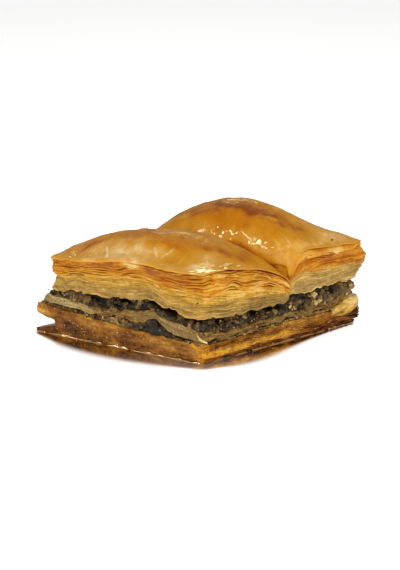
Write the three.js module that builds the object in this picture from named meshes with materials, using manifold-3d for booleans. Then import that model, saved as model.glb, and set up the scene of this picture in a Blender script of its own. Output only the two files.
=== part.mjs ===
// Baklava scored into two lobes that still share one base, in millimetres, +Z up.
// X runs along the score, Y across it, and the origin lies under the middle of the slice.
// A place in plan is given by s, along the score from the near corner, and t, along the slanted
// cut from the same corner. Both run from 0 to 1.
import * as THREE from "three";
import { mergeVertices } from "three/addons/utils/BufferGeometryUtils.js";
import Module from "manifold-3d";

const wasm = await Module();
wasm.setup();

// Driving dimensions of the cut.
const SCORE_LENGTH = 60.5; // each lobe, along the score
const SLANT_LENGTH = 62.9; // both lobes, along the slanted cut
const SLANT_ANGLE = (66.3 * Math.PI) / 180;
const SCORE_AT = 0.53; // share of the slanted cut that belongs to the front lobe
const SCORE_GAP = 0.5;
const LAYER_GAP = 0.26;
const NEAR_CORNER = { x: 17.11, y: -29.9 };

// Thicknesses of the layers at the near corner, and the least they thin down to.
const BASE = { thick: 5.7 };
const LOWER_NUTS = { thick: 1.2, least: 0.75 };
const MIDDLE_PASTRY = { thick: 3.3, least: 1 };
const UPPER_NUTS = { thick: 3.2, least: 0.9 };
const LEFT_RISE = 4.2; // the base swells towards the left corner
const POCKET = { at: 0.28, wide: 0.075, deep: 3.6 }; // a hollow full of nuts in the left side

// Heights of the puffed tops, at the corners, at the crowns and at the end of the score.
const NEAR_TOP = 27.3;
const LEFT_TOP = 25.1;
const RIGHT_TOP = 27.7;
const FAR_TOP = 26.5;
const SCORE_TOP = 19;
const FRONT_CROWN = { rise: 6.1, s: 0.55, t: 0.66, blunt: 3.6, soft: 1.3 };
const BACK_CROWN = { rise: 8.6, s: 0.58, t: 0.488, blunt: 2.2, soft: 1.15 };

// How far each level stops short of the left corner.
const TOP_SHORT = 7;
const GROOVE_SHORT = 9;
const COMPACT_SHORT = { low: 5.9, high: 8.1 };
const UPPER_NUTS_SHORT = { low: 4.6, high: 5.6 };
const MIDDLE_SHORT = { low: 2.2, high: 4.2 };
const LOWER_NUTS_SHORT = { low: 0.9, high: 1.9 };
const SPLIT_DEPTH = 6.2; // between the two flaps of the base

// Leaves of pastry that stand apart under each top, above a compact share of its height.
const LEAVES = 6;
const FRONT_COMPACT_SHARE = 0.5;
const BACK_COMPACT_SHARE = 0.42;
const LEAF_REACH = { right: 0.75, left: 0.4, rear: 0.55 };

// Broken nuts that show in the cut sides.
const LOWER_PIECES = 40;
const UPPER_PIECES = 48;
const PIECE_RADIUS = 1.25;
const LEAST_PIECE_RADIUS = 0.25;
const PIECE_DEPTH = 0.35; // from the cut side to the middle of a piece

// Facets along the score and across each lobe.
const COLUMNS = 18;
const ROWS = 7;

const clamp = (x) => Math.min(1, Math.max(0, x));
const mix = (a, b, k) => a + (b - a) * k;
const bump = (x, centre, width) => Math.exp(-(((x - centre) / width) ** 2));
const ease = (x) => clamp(x) ** 2 * (3 - 2 * clamp(x));
const pillow = (s, t) => 16 * s * (1 - s) * t * (1 - t);

// A gentle irregular wave between -1 and 1.
function wave(x, seed) {
  const slow = Math.sin(x * 7.3 + seed * 2.1);
  const middle = Math.sin(x * 17.9 + seed * 4.7);
  const quick = Math.sin(x * 33.1 + seed * 1.3);
  return (slow + 0.7 * middle + 0.5 * quick) / 2.2;
}

// Plan position of a point s along the score and t along the slanted cut.
function plan(s, t) {
  return {
    x: NEAR_CORNER.x - SCORE_LENGTH * s + SLANT_LENGTH * Math.cos(SLANT_ANGLE) * t,
    y: NEAR_CORNER.y + SLANT_LENGTH * Math.sin(SLANT_ANGLE) * t,
  };
}

// The surfaces between the layers, each as a height.
function baseTop(s, t) {
  const left = LEFT_RISE * clamp(s) ** 1.6 * (1 - clamp(t));
  const right = 0.6 * bump(t, 0.7, 0.3) * (1 - clamp(s));
  const far = 2.8 * s * t;
  return BASE.thick + left + right + far + 0.2 * wave(s + 0.7 * t, 1) * ease(5 * s);
}

function lowerNutTop(s, t) {
  const pocket = POCKET.deep * bump(s, POCKET.at, POCKET.wide) * bump(t, 0, 0.12);
  const drift = 1.1 * bump(s, 0.45, 0.16) * (1 - 0.5 * t) + 0.3 * wave(0.7 * s + t, 2);
  const pinch = 0.75 * ease((s - 0.75) / 0.2) + 0.3 * bump(s, 0, 0.2) * ease(t / 0.2);
  return baseTop(s, t) + Math.max(LOWER_NUTS.least, LOWER_NUTS.thick + pocket + drift - pinch);
}

function middleTop(s, t) {
  const overPocket = 1.2 * bump(s, POCKET.at - 0.02, 0.05);
  const swell = 0.9 * bump(s, 0.14, 0.08) + 0.6 * bump(s, 0.37, 0.06) - overPocket;
  const thin = 0.9 * ease((s - 0.45) / 0.2) - 0.7 * ease((s - 0.8) / 0.15);
  const left = (swell - thin) * bump(t, 0, 0.25);
  const right = (1.2 * bump(t, 1, 0.15) - 1.3 * ease(t / 0.15)) * bump(s, 0, 0.3);
  const thick = MIDDLE_PASTRY.thick + left + right + 0.15 * wave(s + t, 3);
  return lowerNutTop(s, t) + Math.max(MIDDLE_PASTRY.least, thick);
}

function upperNutTop(s, t) {
  const left = (0.3 - 0.9 * bump(s, 0.14, 0.1) - 1.9 * ease((s - 0.72) / 0.2)) * bump(t, 0, 0.3);
  const right = (0.6 * ease(t / 0.1) + 1.5 * ease((t - 0.47) / 0.12)) * bump(s, 0, 0.3);
  const thick = UPPER_NUTS.thick + left + right + 0.2 * wave(1.1 * s + t, 4);
  return middleTop(s, t) + Math.max(UPPER_NUTS.least, thick);
}

// Blends four edge profiles into one patch.
function patch(s, t, front, rear, right, end) {
  const across = (1 - t) * front(s) + t * rear(s);
  const along = (1 - s) * right(t) + s * end(t);
  const atRight = (1 - t) * front(0) + t * rear(0);
  const atEnd = (1 - t) * front(1) + t * rear(1);
  return across + along - (1 - s) * atRight - s * atEnd;
}

// How high a crown swells at a place, highest at the crown's own s and t.
function crownRise(crown, s, t) {
  const centred = (x, middle) => x ** (Math.log(0.5) / Math.log(middle));
  const rounded = (x) => Math.max(0, 1 - Math.abs(2 * x - 1) ** crown.blunt) ** crown.soft;
  return crown.rise * rounded(centred(s, crown.s)) * rounded(centred(t, crown.t));
}

// The valley that the score makes between the lobes.
const valley = (s) => SCORE_TOP + 4.8 * (1 - Math.exp(-s / 0.09)) - 3.9 * s ** 4;

function frontDome(s, t) {
  const left = (x) => NEAR_TOP + 2 * bump(x, 0.42, 0.23) - 2.2 * x ** 3;
  const right = (x) => mix(NEAR_TOP, SCORE_TOP, x ** 4) + 1.3 * bump(x, 0.22, 0.18);
  const end = (x) => mix(LEFT_TOP, valley(1), x) + 6 * x * (1 - x);
  const dip = 1.4 * bump(s, 0.23, 0.18) * bump(t, 0.79, 0.25) * pillow(s, t);
  const corner = bump(s, 0, 0.09) * bump(t, 0, 0.16);
  return patch(s, t, left, valley, right, end) + crownRise(FRONT_CROWN, s, t) - dip + corner;
}

function backDome(s, t) {
  const rear = (x) => mix(RIGHT_TOP, FAR_TOP, x) + 13.2 * x * (1 - x);
  const right = (x) => mix(RIGHT_TOP, SCORE_TOP, Math.exp(-x / 0.06)) + 20 * x * (1 - x) ** 4;
  const end = (x) => mix(valley(1), FAR_TOP, x) + 6 * x * (1 - x);
  const swell = 1.4 * bump(s, 0.52, 0.18) * bump(t, 0.77, 0.3) * pillow(s, t);
  return patch(s, t, valley, rear, right, end) + crownRise(BACK_CROWN, s, t) + swell;
}

// Places across the slice where the lobes have their rows of facets.
const crossings = (from, to) => Array.from({ length: ROWS + 1 }, (_, j) => mix(from, to, j / ROWS));
const FRONT_CROSSINGS = crossings(0, SCORE_AT);
const BACK_CROSSINGS = crossings(SCORE_AT, 1);
const ALL_CROSSINGS = [...FRONT_CROSSINGS, ...BACK_CROSSINGS.slice(1)];

// A closed solid from a stack of levels over one grid of s and t. A level gives its share of the
// height from bottom to top, and how far its four sides reach out past the cut.
function stackGeometry({ rows, bottom, top, levels }) {
  const positions = [];
  const faces = [];
  const lastRow = rows.length - 1;

  function point(level, i, j) {
    const u = i / COLUMNS;
    const v = j / lastRow;
    const outRight = level.right(rows[j]) * (1 - u) ** 3;
    const outEnd = level.end(rows[j]) * u ** 3;
    const outFront = level.front(u) * (1 - v) ** 3;
    const outRear = level.rear(u) * v ** 3;
    const s = u + (outEnd - outRight) / SCORE_LENGTH;
    const t = rows[j] + (outRear - outFront) / SLANT_LENGTH;
    const share = clamp(level.share + level.lift(u, v));
    const { x, y } = plan(s, t);
    positions.push(x, y, mix(bottom(s, t), top(s, t), share));
    return positions.length / 3 - 1;
  }

  const rim = [];
  for (let i = 0; i < COLUMNS; i++) rim.push([i, 0]);
  for (let j = 0; j < lastRow; j++) rim.push([COLUMNS, j]);
  for (let i = COLUMNS; i > 0; i--) rim.push([i, lastRow]);
  for (let j = lastRow; j > 0; j--) rim.push([0, j]);
  const loops = levels.map((level) => rim.map(([i, j]) => point(level, i, j)));

  function wall(low, high) {
    rim.forEach((_, n) => {
      const next = (n + 1) % rim.length;
      faces.push(low[n], high[next], low[next]);
      faces.push(low[n], high[n], high[next]);
    });
  }

  function cap(level, loop, upward) {
    const grid = new Map(rim.map(([i, j], n) => [`${i},${j}`, loop[n]]));
    for (let i = 1; i < COLUMNS; i++) {
      for (let j = 1; j < lastRow; j++) grid.set(`${i},${j}`, point(level, i, j));
    }
    for (let i = 0; i < COLUMNS; i++) {
      for (let j = 0; j < lastRow; j++) {
        const a = grid.get(`${i},${j}`);
        const b = grid.get(`${i + 1},${j}`);
        const c = grid.get(`${i + 1},${j + 1}`);
        const d = grid.get(`${i},${j + 1}`);
        if (upward) faces.push(a, c, b, a, d, c);
        else faces.push(a, b, c, a, c, d);
      }
    }
  }

  loops.slice(1).forEach((loop, k) => wall(loops[k], loop));
  cap(levels[0], loops[0], false);
  cap(levels.at(-1), loops.at(-1), true);
  return new THREE.BufferGeometry()
    .setAttribute("position", new THREE.Float32BufferAttribute(positions, 3))
    .setIndex(faces);
}

// How far the left end stops short at one level: most at the corner, less behind it.
const shortEnd = (inset) => (t) => -inset * (0.55 + 0.45 * Math.exp(-4 * t));

// The split between the two flaps of the base, at the left corner only.
const splitEnd = (depth) => (t) => -depth * bump(t, 0, 0.16) - 0.4;

// A level whose sides share one slightly uneven reach, with a left end of its own.
function evenLevel(share, reach, end, sides = {}) {
  const uneven = (seed) => (x) => reach * (0.75 + 0.25 * wave(x, 9 * share + seed));
  return { share, lift: () => 0, right: uneven(1), front: uneven(2), rear: uneven(3), end, ...sides };
}

// The base: a split left corner, frilled edges on the right, and a swollen right corner.
function baseLevels() {
  const frill = (reach, seed) => (t) => reach + 0.35 * wave(1.6 * t, seed);
  const corner = (reach) => (s) => reach * bump(s, 0, 0.12);
  const side = (right, rear, seed) => ({ right: frill(right, seed), rear: corner(rear) });
  return [
    evenLevel(0, -0.2, shortEnd(-0.8), side(-0.7, -1, 1)),
    evenLevel(0.13, 0.1, shortEnd(-0.8), side(0.2, -0.8, 2)),
    evenLevel(0.2, -0.3, splitEnd(0.25 * SPLIT_DEPTH), side(-0.9, -0.2, 3)),
    evenLevel(0.29, -0.3, splitEnd(SPLIT_DEPTH), side(0.4, 0.2, 4)),
    evenLevel(0.52, 0.1, splitEnd(SPLIT_DEPTH), side(0.5, 0.6, 5)),
    evenLevel(0.63, -0.1, splitEnd(-0.5), side(-0.1, 1.1, 6)),
    evenLevel(0.78, 0.2, shortEnd(0), side(0.1, 1.1, 7)),
    evenLevel(0.9, -0.1, shortEnd(0.1), side(-0.1, 1, 8)),
    evenLevel(1, -0.2, shortEnd(0.3), side(-0.3, 0.8, 9)),
  ];
}

// A thin layer that bulges a little between its faces, drawn in at the right corner of the rear.
function thinLevels(short, cornerReach) {
  return [0, 0.5, 1].map((share) => {
    const reach = share === 0.5 ? 0.2 : -0.3;
    const rear = (s) => reach + cornerReach * bump(s, 0, 0.12);
    return evenLevel(share, reach, shortEnd(mix(short.low, short.high, share)), { rear });
  });
}

// The levels of one puffed top: a compact part, a groove, then leaves that stand apart.
function topLevels(compactShare, isFront) {
  const cutFace = (seed) => (s) => -SCORE_GAP / 2 - 0.12 * (1 + wave(s, seed));
  const proud = (t) => (isFront ? 0.5 : -0.5) * bump(t, SCORE_AT, 0.09);

  function topLevel(share, reach, short, seed) {
    const out = (most, place, k) => reach * most * (0.7 + 0.3 * wave(1.7 * place, seed + k));
    const flap = 3.2 * bump(share, 0.6, 0.25) * ease((1 - share) / 0.3);
    const tuck = 1.4 * bump(share, 0, 0.2);
    const rear = (s) => out(LEAF_REACH.rear, s, 3) + (flap - tuck) * bump(s, 0, 0.08);
    const wanders = share > 0.05 && share < 0.97;
    return {
      share,
      lift: (u, v) => (wanders ? 0.012 * wave(u + 1.3 * v, seed) : 0),
      right: (t) => out(LEAF_REACH.right, t, 1) + proud(t),
      front: isFront ? (s) => out(LEAF_REACH.left, s, 2) : cutFace(5),
      rear: isFront ? cutFace(6) : rear,
      end: (t) => shortEnd(short)(t) + out(LEAF_REACH.rear, t, 4),
    };
  }

  const levels = [0, 0.26, 0.52, 0.78].map((part, k) => {
    const short = mix(COMPACT_SHORT.low, COMPACT_SHORT.high, part);
    return topLevel(part * compactShare, k % 2 ? 0.25 : -0.15, short, 10 + k);
  });
  levels.push(topLevel(compactShare, -0.8, GROOVE_SHORT, 20));
  const step = (0.965 - compactShare) / LEAVES;
  for (let k = 0; k < LEAVES; k++) {
    const low = compactShare + step * k;
    levels.push(topLevel(low + 0.3 * step, k < LEAVES - 1 ? 0.9 : 0.5, TOP_SHORT, 30 + k));
    levels.push(topLevel(low + step, -0.7, TOP_SHORT + 0.2, 30 + k));
  }
  levels.push(topLevel(0.985, 0.7, TOP_SHORT, 50));
  levels.push(topLevel(1, 0.1, TOP_SHORT + 0.2, 50));
  return levels;
}

const above = (surface) => (s, t) => surface(s, t) + LAYER_GAP;

function layer(bottom, top, levels) {
  return stackGeometry({ rows: ALL_CROSSINGS, bottom, top, levels });
}

function lobe(rows, dome, compactShare, isFront) {
  const [from, to] = [rows[0], rows.at(-1)];
  const top = (s, t) => dome(clamp(s), clamp((t - from) / (to - from)));
  const levels = topLevels(compactShare, isFront);
  return stackGeometry({ rows, bottom: above(upperNutTop), top, levels });
}

function solidOf(geometry) {
  const vertProperties = new Float32Array(geometry.attributes.position.array);
  const triVerts = new Uint32Array(geometry.index.array);
  return new wasm.Manifold(new wasm.Mesh({ numProp: 3, vertProperties, triVerts }));
}

function geometryOf(solid) {
  const { vertProperties, triVerts } = solid.getMesh();
  return new THREE.BufferGeometry()
    .setAttribute("position", new THREE.BufferAttribute(vertProperties, 3))
    .setIndex(new THREE.BufferAttribute(triVerts, 1));
}

// A repeatable stream of numbers between 0 and 1.
function randomStream(seed) {
  let state = seed;
  return () => {
    state = (state * 1664525 + 1013904223) % 4294967296;
    return state / 4294967296;
  };
}

// One broken nut: a rough lump of twenty faces, wider than it is tall.
function nutPiece(random, radius, { x, y }, z) {
  const ball = new THREE.IcosahedronGeometry(radius, 0);
  ball.deleteAttribute("normal");
  ball.deleteAttribute("uv");
  const lump = mergeVertices(ball);
  const at = lump.attributes.position;
  for (let i = 0; i < at.count; i++) {
    const size = mix(0.72, 1.15, random());
    const wide = 1.2 * size;
    const tall = 0.82 * size;
    at.setXYZ(i, x + wide * at.getX(i), y + wide * at.getY(i), z + tall * at.getZ(i));
  }
  return solidOf(lump);
}

// A nut layer with broken nuts standing out of its four cut sides.
function nutLayer(bottom, top, levels, count, seed) {
  const random = randomStream(seed);
  const pieces = [solidOf(layer(above(bottom), top, levels))];
  const { right, end, front, rear } = levels[1];
  const lastS = 1 + (end(0) - 1) / SCORE_LENGTH;
  for (let k = 0; k < count; k++) {
    const turn = (4 * (k + 0.5 * random())) / count;
    const side = Math.floor(turn);
    const s = mix(0.02, lastS, turn - side);
    const t = mix(0.95, 0.03, turn - side);
    const [a, b] = [
      [s, (PIECE_DEPTH - front(s)) / SLANT_LENGTH],
      [1 + (end(t) - PIECE_DEPTH) / SCORE_LENGTH, t],
      [s, 1 + (rear(s) - PIECE_DEPTH) / SLANT_LENGTH],
      [(PIECE_DEPTH - right(t)) / SCORE_LENGTH, t],
    ][side];
    const around = [-0.025, -0.012, 0, 0.012, 0.025].flatMap((d) => [
      [a + d, b],
      [a, b + d],
    ]);
    const low = Math.max(...around.map((place) => bottom(...place))) + LAYER_GAP;
    const high = Math.min(...around.map((place) => top(...place)));
    const radius = Math.min(PIECE_RADIUS, 0.46 * (high - low)) * mix(0.8, 1, random());
    if (radius < LEAST_PIECE_RADIUS) continue;
    const spare = Math.max(0, (high - low) / 2 - radius);
    const z = (high + low) / 2 + (random() - 0.5) * spare;
    pieces.push(nutPiece(random, radius, plan(a, b), z));
  }
  return geometryOf(wasm.Manifold.union(pieces));
}

const baklava = new THREE.Group();
baklava.name = "baklava_slice";

function add(name, color, roughness, geometry) {
  const mesh = new THREE.Mesh(geometry, new THREE.MeshStandardMaterial({ color, roughness }));
  mesh.name = name;
  baklava.add(mesh);
}

add("base_pastry", 0xb5761f, 0.45, layer(() => 0, baseTop, baseLevels()));
add(
  "lower_nut_layer",
  0x4a4030,
  0.8,
  nutLayer(baseTop, lowerNutTop, thinLevels(LOWER_NUTS_SHORT, -0.8), LOWER_PIECES, 7),
);
add(
  "middle_pastry",
  0xb39a5a,
  0.7,
  layer(above(lowerNutTop), middleTop, thinLevels(MIDDLE_SHORT, 0.5)),
);
add(
  "upper_nut_layer",
  0x3d3427,
  0.8,
  nutLayer(middleTop, upperNutTop, thinLevels(UPPER_NUTS_SHORT, -2.1), UPPER_PIECES, 19),
);
add("front_top_pastry", 0xd9962f, 0.35, lobe(FRONT_CROSSINGS, frontDome, FRONT_COMPACT_SHARE, true));
add("back_top_pastry", 0xd9962f, 0.35, lobe(BACK_CROSSINGS, backDome, BACK_COMPACT_SHARE, false));

export default baklava;
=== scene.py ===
"""Looks of a scored slice of baklava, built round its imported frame. Sizes are in millimetres."""
import math

import bmesh
import bpy
import numpy as np
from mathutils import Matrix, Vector


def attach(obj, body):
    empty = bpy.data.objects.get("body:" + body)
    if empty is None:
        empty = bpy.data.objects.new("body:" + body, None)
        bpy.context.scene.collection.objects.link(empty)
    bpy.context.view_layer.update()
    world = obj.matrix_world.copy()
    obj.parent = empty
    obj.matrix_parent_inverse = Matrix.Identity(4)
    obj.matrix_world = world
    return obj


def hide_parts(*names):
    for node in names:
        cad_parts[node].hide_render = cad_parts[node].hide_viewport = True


MM = 0.001

# The cut of the slice: s runs along the score and t along the slanted cut, both from the near corner.
SCORE_LENGTH = 60.5
SLANT_LENGTH = 62.9
SLANT_ANGLE = math.radians(66.3)
SCORE_AT = 0.53
NEAR_CORNER = (17.11, -29.9)
LAYER_GAP = 0.26

# Camera, in the frame of the slice.
CAMERA_TARGET = (-3.16, 4.59, 12)
CAMERA_AZIMUTH = math.radians(29.15)
CAMERA_ELEVATION = math.radians(18)
CAMERA_DISTANCE = 420
CAMERA_LENS = 81.97

# Heights at the corners and at the open end of the score, and how far and where the crowns rise.
NEAR_TOP = 27.3
LEFT_TOP = 25.1
RIGHT_TOP = 27.7
FAR_TOP = 26.5
SCORE_TOP = 19.0
FRONT_CROWN = {"rise": 6.1, "s": 0.55, "t": 0.66, "blunt": 3.6, "soft": 1.3}
BACK_CROWN = {"rise": 8.6, "s": 0.58, "t": 0.488, "blunt": 2.2, "soft": 1.15}

FLOOR_GLOW = 0.5
ROOM_LIGHT = (0.34, 0.5)  # at the horizon and overhead
MIRRORED_ROOM = 0.1  # how bright the room is in glossy surfaces
# A bright band of the room that only glossy surfaces see: its height, half its width, and where it ends.
BAND = {"height": 0.3, "half": 0.04, "end": 0.1, "brightness": 3}
FLOOR_TINT = (0.84, 0.79, 0.56, 1)  # what the glossy patch round the slice keeps of each colour
FLOOR_COLOUR = (0.9, 0.9, 0.9, 1)
WHITE = (1, 1, 1)

RIM_STEP = 0.5
SKIN_STEP = 0.27
SKIN_THICK = 0.34


def clamp(x):
    return np.clip(x, 0, 1)


def mix(a, b, k):
    return a + (b - a) * k


def bump(x, centre, width):
    return np.exp(-(((x - centre) / width) ** 2))


def ease(x):
    return clamp(x) ** 2 * (3 - 2 * clamp(x))


def grow(x, start, stop):
    """0 before start and 1 after stop, with a smooth rise between. start may be the larger one."""
    return ease((x - start) / (stop - start))


def wave(x, seed):
    """A gentle irregular wave between -1 and 1."""
    slow = np.sin(x * 7.3 + seed * 2.1)
    middle = np.sin(x * 17.9 + seed * 4.7)
    quick = np.sin(x * 33.1 + seed * 1.3)
    return (slow + 0.7 * middle + 0.5 * quick) / 2.2


NOISE_VALUES = np.random.default_rng(5).uniform(-1, 1, 8192)


def noise(x, y, z):
    """Smooth noise between -1 and 1, with about one swell per unit of x, y and z."""
    cells = [np.floor(np.asarray(a, float)).astype(np.int64) for a in (x, y, z)]
    shares = [a - c for a, c in zip((x, y, z), cells)]
    shares = [f * f * (3 - 2 * f) for f in shares]
    total = 0
    for corner in range(8):
        key = 0
        weight = 1
        for axis, prime in enumerate((73856093, 19349663, 83492791)):
            step = corner >> axis & 1
            key = key ^ (cells[axis] + step) * prime
            weight = weight * (shares[axis] if step else 1 - shares[axis])
        total = total + weight * NOISE_VALUES[key % len(NOISE_VALUES)]
    return total


def waver(x, y, seed, *swells):
    """Noise over the plan. Each swell is its height, its width and what it adds to the seed."""
    return sum(height * noise(x / width, y / width, seed + extra) for height, width, extra in swells)


def plan(s, t):
    """Plan position of a point s along the score and t along the slanted cut."""
    x = NEAR_CORNER[0] - SCORE_LENGTH * s + SLANT_LENGTH * math.cos(SLANT_ANGLE) * t
    return x, NEAR_CORNER[1] + SLANT_LENGTH * math.sin(SLANT_ANGLE) * t


def unplan(x, y):
    t = (y - NEAR_CORNER[1]) / (SLANT_LENGTH * math.sin(SLANT_ANGLE))
    return (NEAR_CORNER[0] + SLANT_LENGTH * math.cos(SLANT_ANGLE) * t - x) / SCORE_LENGTH, t


# Heights of the tops of the layers, from the base up.
def base_top(s, t):
    left = 4.2 * clamp(s) ** 1.6 * (1 - clamp(t))
    right = 0.6 * bump(t, 0.7, 0.3) * (1 - clamp(s))
    return 5.7 + left + right + 2.8 * s * t + 0.2 * wave(s + 0.7 * t, 1) * ease(5 * s)


def lower_nut_top(s, t):
    pocket = 3.6 * bump(s, 0.28, 0.075) * bump(t, 0, 0.12)
    drift = 1.1 * bump(s, 0.45, 0.16) * (1 - 0.5 * t) + 0.3 * wave(0.7 * s + t, 2)
    pinch = 0.75 * grow(s, 0.75, 0.95) + 0.3 * bump(s, 0, 0.2) * ease(t / 0.2)
    return base_top(s, t) + np.maximum(0.75, 1.2 + pocket + drift - pinch)


def middle_top(s, t):
    swell = 0.9 * bump(s, 0.14, 0.08) + 0.6 * bump(s, 0.37, 0.06) - 1.2 * bump(s, 0.26, 0.05)
    thin = 0.9 * grow(s, 0.45, 0.65) - 0.7 * grow(s, 0.8, 0.95)
    left = (swell - thin) * bump(t, 0, 0.25)
    right = (1.2 * bump(t, 1, 0.15) - 1.3 * ease(t / 0.15)) * bump(s, 0, 0.3)
    return lower_nut_top(s, t) + np.maximum(1, 3.3 + left + right + 0.15 * wave(s + t, 3))


def upper_nut_top(s, t):
    left = (0.3 - 0.9 * bump(s, 0.14, 0.1) - 1.9 * grow(s, 0.72, 0.92)) * bump(t, 0, 0.3)
    right = (0.6 * ease(t / 0.1) + 1.5 * grow(t, 0.47, 0.59)) * bump(s, 0, 0.3)
    return middle_top(s, t) + np.maximum(0.9, 3.2 + left + right + 0.2 * wave(1.1 * s + t, 4))


def above(surface):
    """Where the next layer starts, a gap above this surface."""
    return lambda s, t: surface(s, t) + LAYER_GAP


def patch(s, t, front, rear, right, end):
    """Blends four edge profiles into one surface."""
    zero = 0 * s
    across = (1 - t) * front(s) + t * rear(s)
    along = (1 - s) * right(t) + s * end(t)
    at_right = (1 - t) * front(zero) + t * rear(zero)
    at_end = (1 - t) * front(zero + 1) + t * rear(zero + 1)
    return across + along - (1 - s) * at_right - s * at_end


def crown_rise(crown, s, t):
    def rounded(x, middle):
        centred = np.maximum(x, 1e-9) ** (math.log(0.5) / math.log(middle))
        return np.maximum(0, 1 - np.abs(2 * centred - 1) ** crown["blunt"]) ** crown["soft"]

    return crown["rise"] * rounded(s, crown["s"]) * rounded(t, crown["t"])


def valley(s):
    """The bottom of the score, between the lobes."""
    return SCORE_TOP + 4.8 * (1 - np.exp(-s / 0.09)) - 3.9 * s**4


def pillow(s, t):
    """0 at the edges of a lobe and 1 in its middle."""
    return 16 * s * (1 - s) * t * (1 - t)


def front_dome(s, t):
    tau = clamp(t / SCORE_AT)
    s = clamp(s)
    height = patch(
        s,
        tau,
        front=lambda x: NEAR_TOP + 2 * bump(x, 0.42, 0.23) - 2.2 * x**3,
        rear=valley,
        right=lambda x: mix(NEAR_TOP, SCORE_TOP, x**4) + 1.3 * bump(x, 0.22, 0.18),
        end=lambda x: mix(LEFT_TOP, valley(1.0), x) + 6 * x * (1 - x),
    )
    dip = 1.4 * bump(s, 0.23, 0.18) * bump(tau, 0.79, 0.25) * pillow(s, tau)
    corner = bump(s, 0, 0.09) * bump(tau, 0, 0.16)
    return height + crown_rise(FRONT_CROWN, s, tau) - dip + corner


def back_dome(s, t):
    tau = clamp((t - SCORE_AT) / (1 - SCORE_AT))
    s = clamp(s)
    height = patch(
        s,
        tau,
        front=valley,
        rear=lambda x: mix(RIGHT_TOP, FAR_TOP, x) + 13.2 * x * (1 - x),
        right=lambda x: mix(RIGHT_TOP, SCORE_TOP, np.exp(-x / 0.06)) + 20 * x * (1 - x) ** 4,
        end=lambda x: mix(valley(1.0), FAR_TOP, x) + 6 * x * (1 - x),
    )
    swell = 1.4 * bump(s, 0.52, 0.18) * bump(tau, 0.77, 0.3) * pillow(s, tau)
    return height + crown_rise(BACK_CROWN, s, tau) + swell


class Block:
    """Part of the slice between two values of t, with a floor and a roof given as heights."""

    def __init__(self, start, stop, floor, roof):
        self.start, self.stop = start, stop
        self.floor, self.roof = floor, roof
        self.width = (stop - start) * SLANT_LENGTH

    def height(self, x, y, share):
        s, t = unplan(x, y)
        return mix(self.floor(s, t), self.roof(s, t), share)

    def at(self, u, v, ds=0.0, dt=0.0):
        """Plan position at the shares u along the score and v across the block, moved by ds and dt."""
        s = u + ds / SCORE_LENGTH
        return plan(s, mix(self.start, self.stop, v) + dt / SLANT_LENGTH)

    def shares(self, x, y):
        """The shares u and v of a plan position."""
        s, t = unplan(x, y)
        return s, (t - self.start) / (self.stop - self.start)

    def inset(self, u, v, depth):
        """The same places, moved in from the outline."""
        u = 0.5 + (u - 0.5) * (1 - 2 * depth / SCORE_LENGTH)
        return u, 0.5 + (v - 0.5) * (1 - 2 * depth / self.width)


class Rim:
    """Points round a block, from the near corner to the left, far and right corners and back."""

    def __init__(self, block, step=RIM_STEP, soften=3):
        self.block = block
        self.long = round(SCORE_LENGTH / step)
        self.wide = round(block.width / step)
        out = np.arange(self.long) / self.long
        over = np.arange(self.wide) / self.wide
        self.u = np.concatenate([out, 0 * over + 1, 1 - out, 0 * over])
        self.v = np.concatenate([0 * out, over, 0 * out + 1, 1 - over])
        self.side = np.repeat([0, 1, 2, 3], [self.long, self.wide, self.long, self.wide])
        self.u = self.smooth(self.u, soften)
        self.v = self.smooth(self.v, soften)
        self.count = len(self.u)
        self.x, self.y = block.at(self.u, self.v)
        along_x = np.roll(self.x, -1) - np.roll(self.x, 1)
        along_y = np.roll(self.y, -1) - np.roll(self.y, 1)
        size = np.hypot(along_x, along_y)
        self.normal = (-along_y / size, along_x / size)

    def smooth(self, values, times):
        for _ in range(times):
            values = (np.roll(values, 1) + 2 * values + np.roll(values, -1)) / 4
        return values

    def sides(self, front, end, rear, right):
        """One value for each side, blended over the corners."""
        return self.smooth(np.array([front, end, rear, right], float)[self.side], 8)

    def inset(self, depth):
        return self.block.inset(self.u, self.v, depth)

    def out(self, x, y, distance, where=slice(None)):
        """x and y, which lie at the points where of the rim, moved straight out of the block."""
        return x + self.normal[0][where] * distance, y + self.normal[1][where] * distance

    def spot(self, u, v, wide, deep):
        """1 at one place of the outline, fading out over wide along u and over deep along v."""
        return bump(self.u, u, wide) * bump(self.v, v, deep)


# What a material reads at each point: its colour along a ramp, which leaf it is on, how wet it is and
# how much it is stained golden by the syrup.
VALUE_NAMES = ["tone", "leaf", "wet", "gold"]


def add_object(name, data):
    thing = bpy.data.objects.new(name, data)
    bpy.context.scene.collection.objects.link(thing)
    return thing


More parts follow.
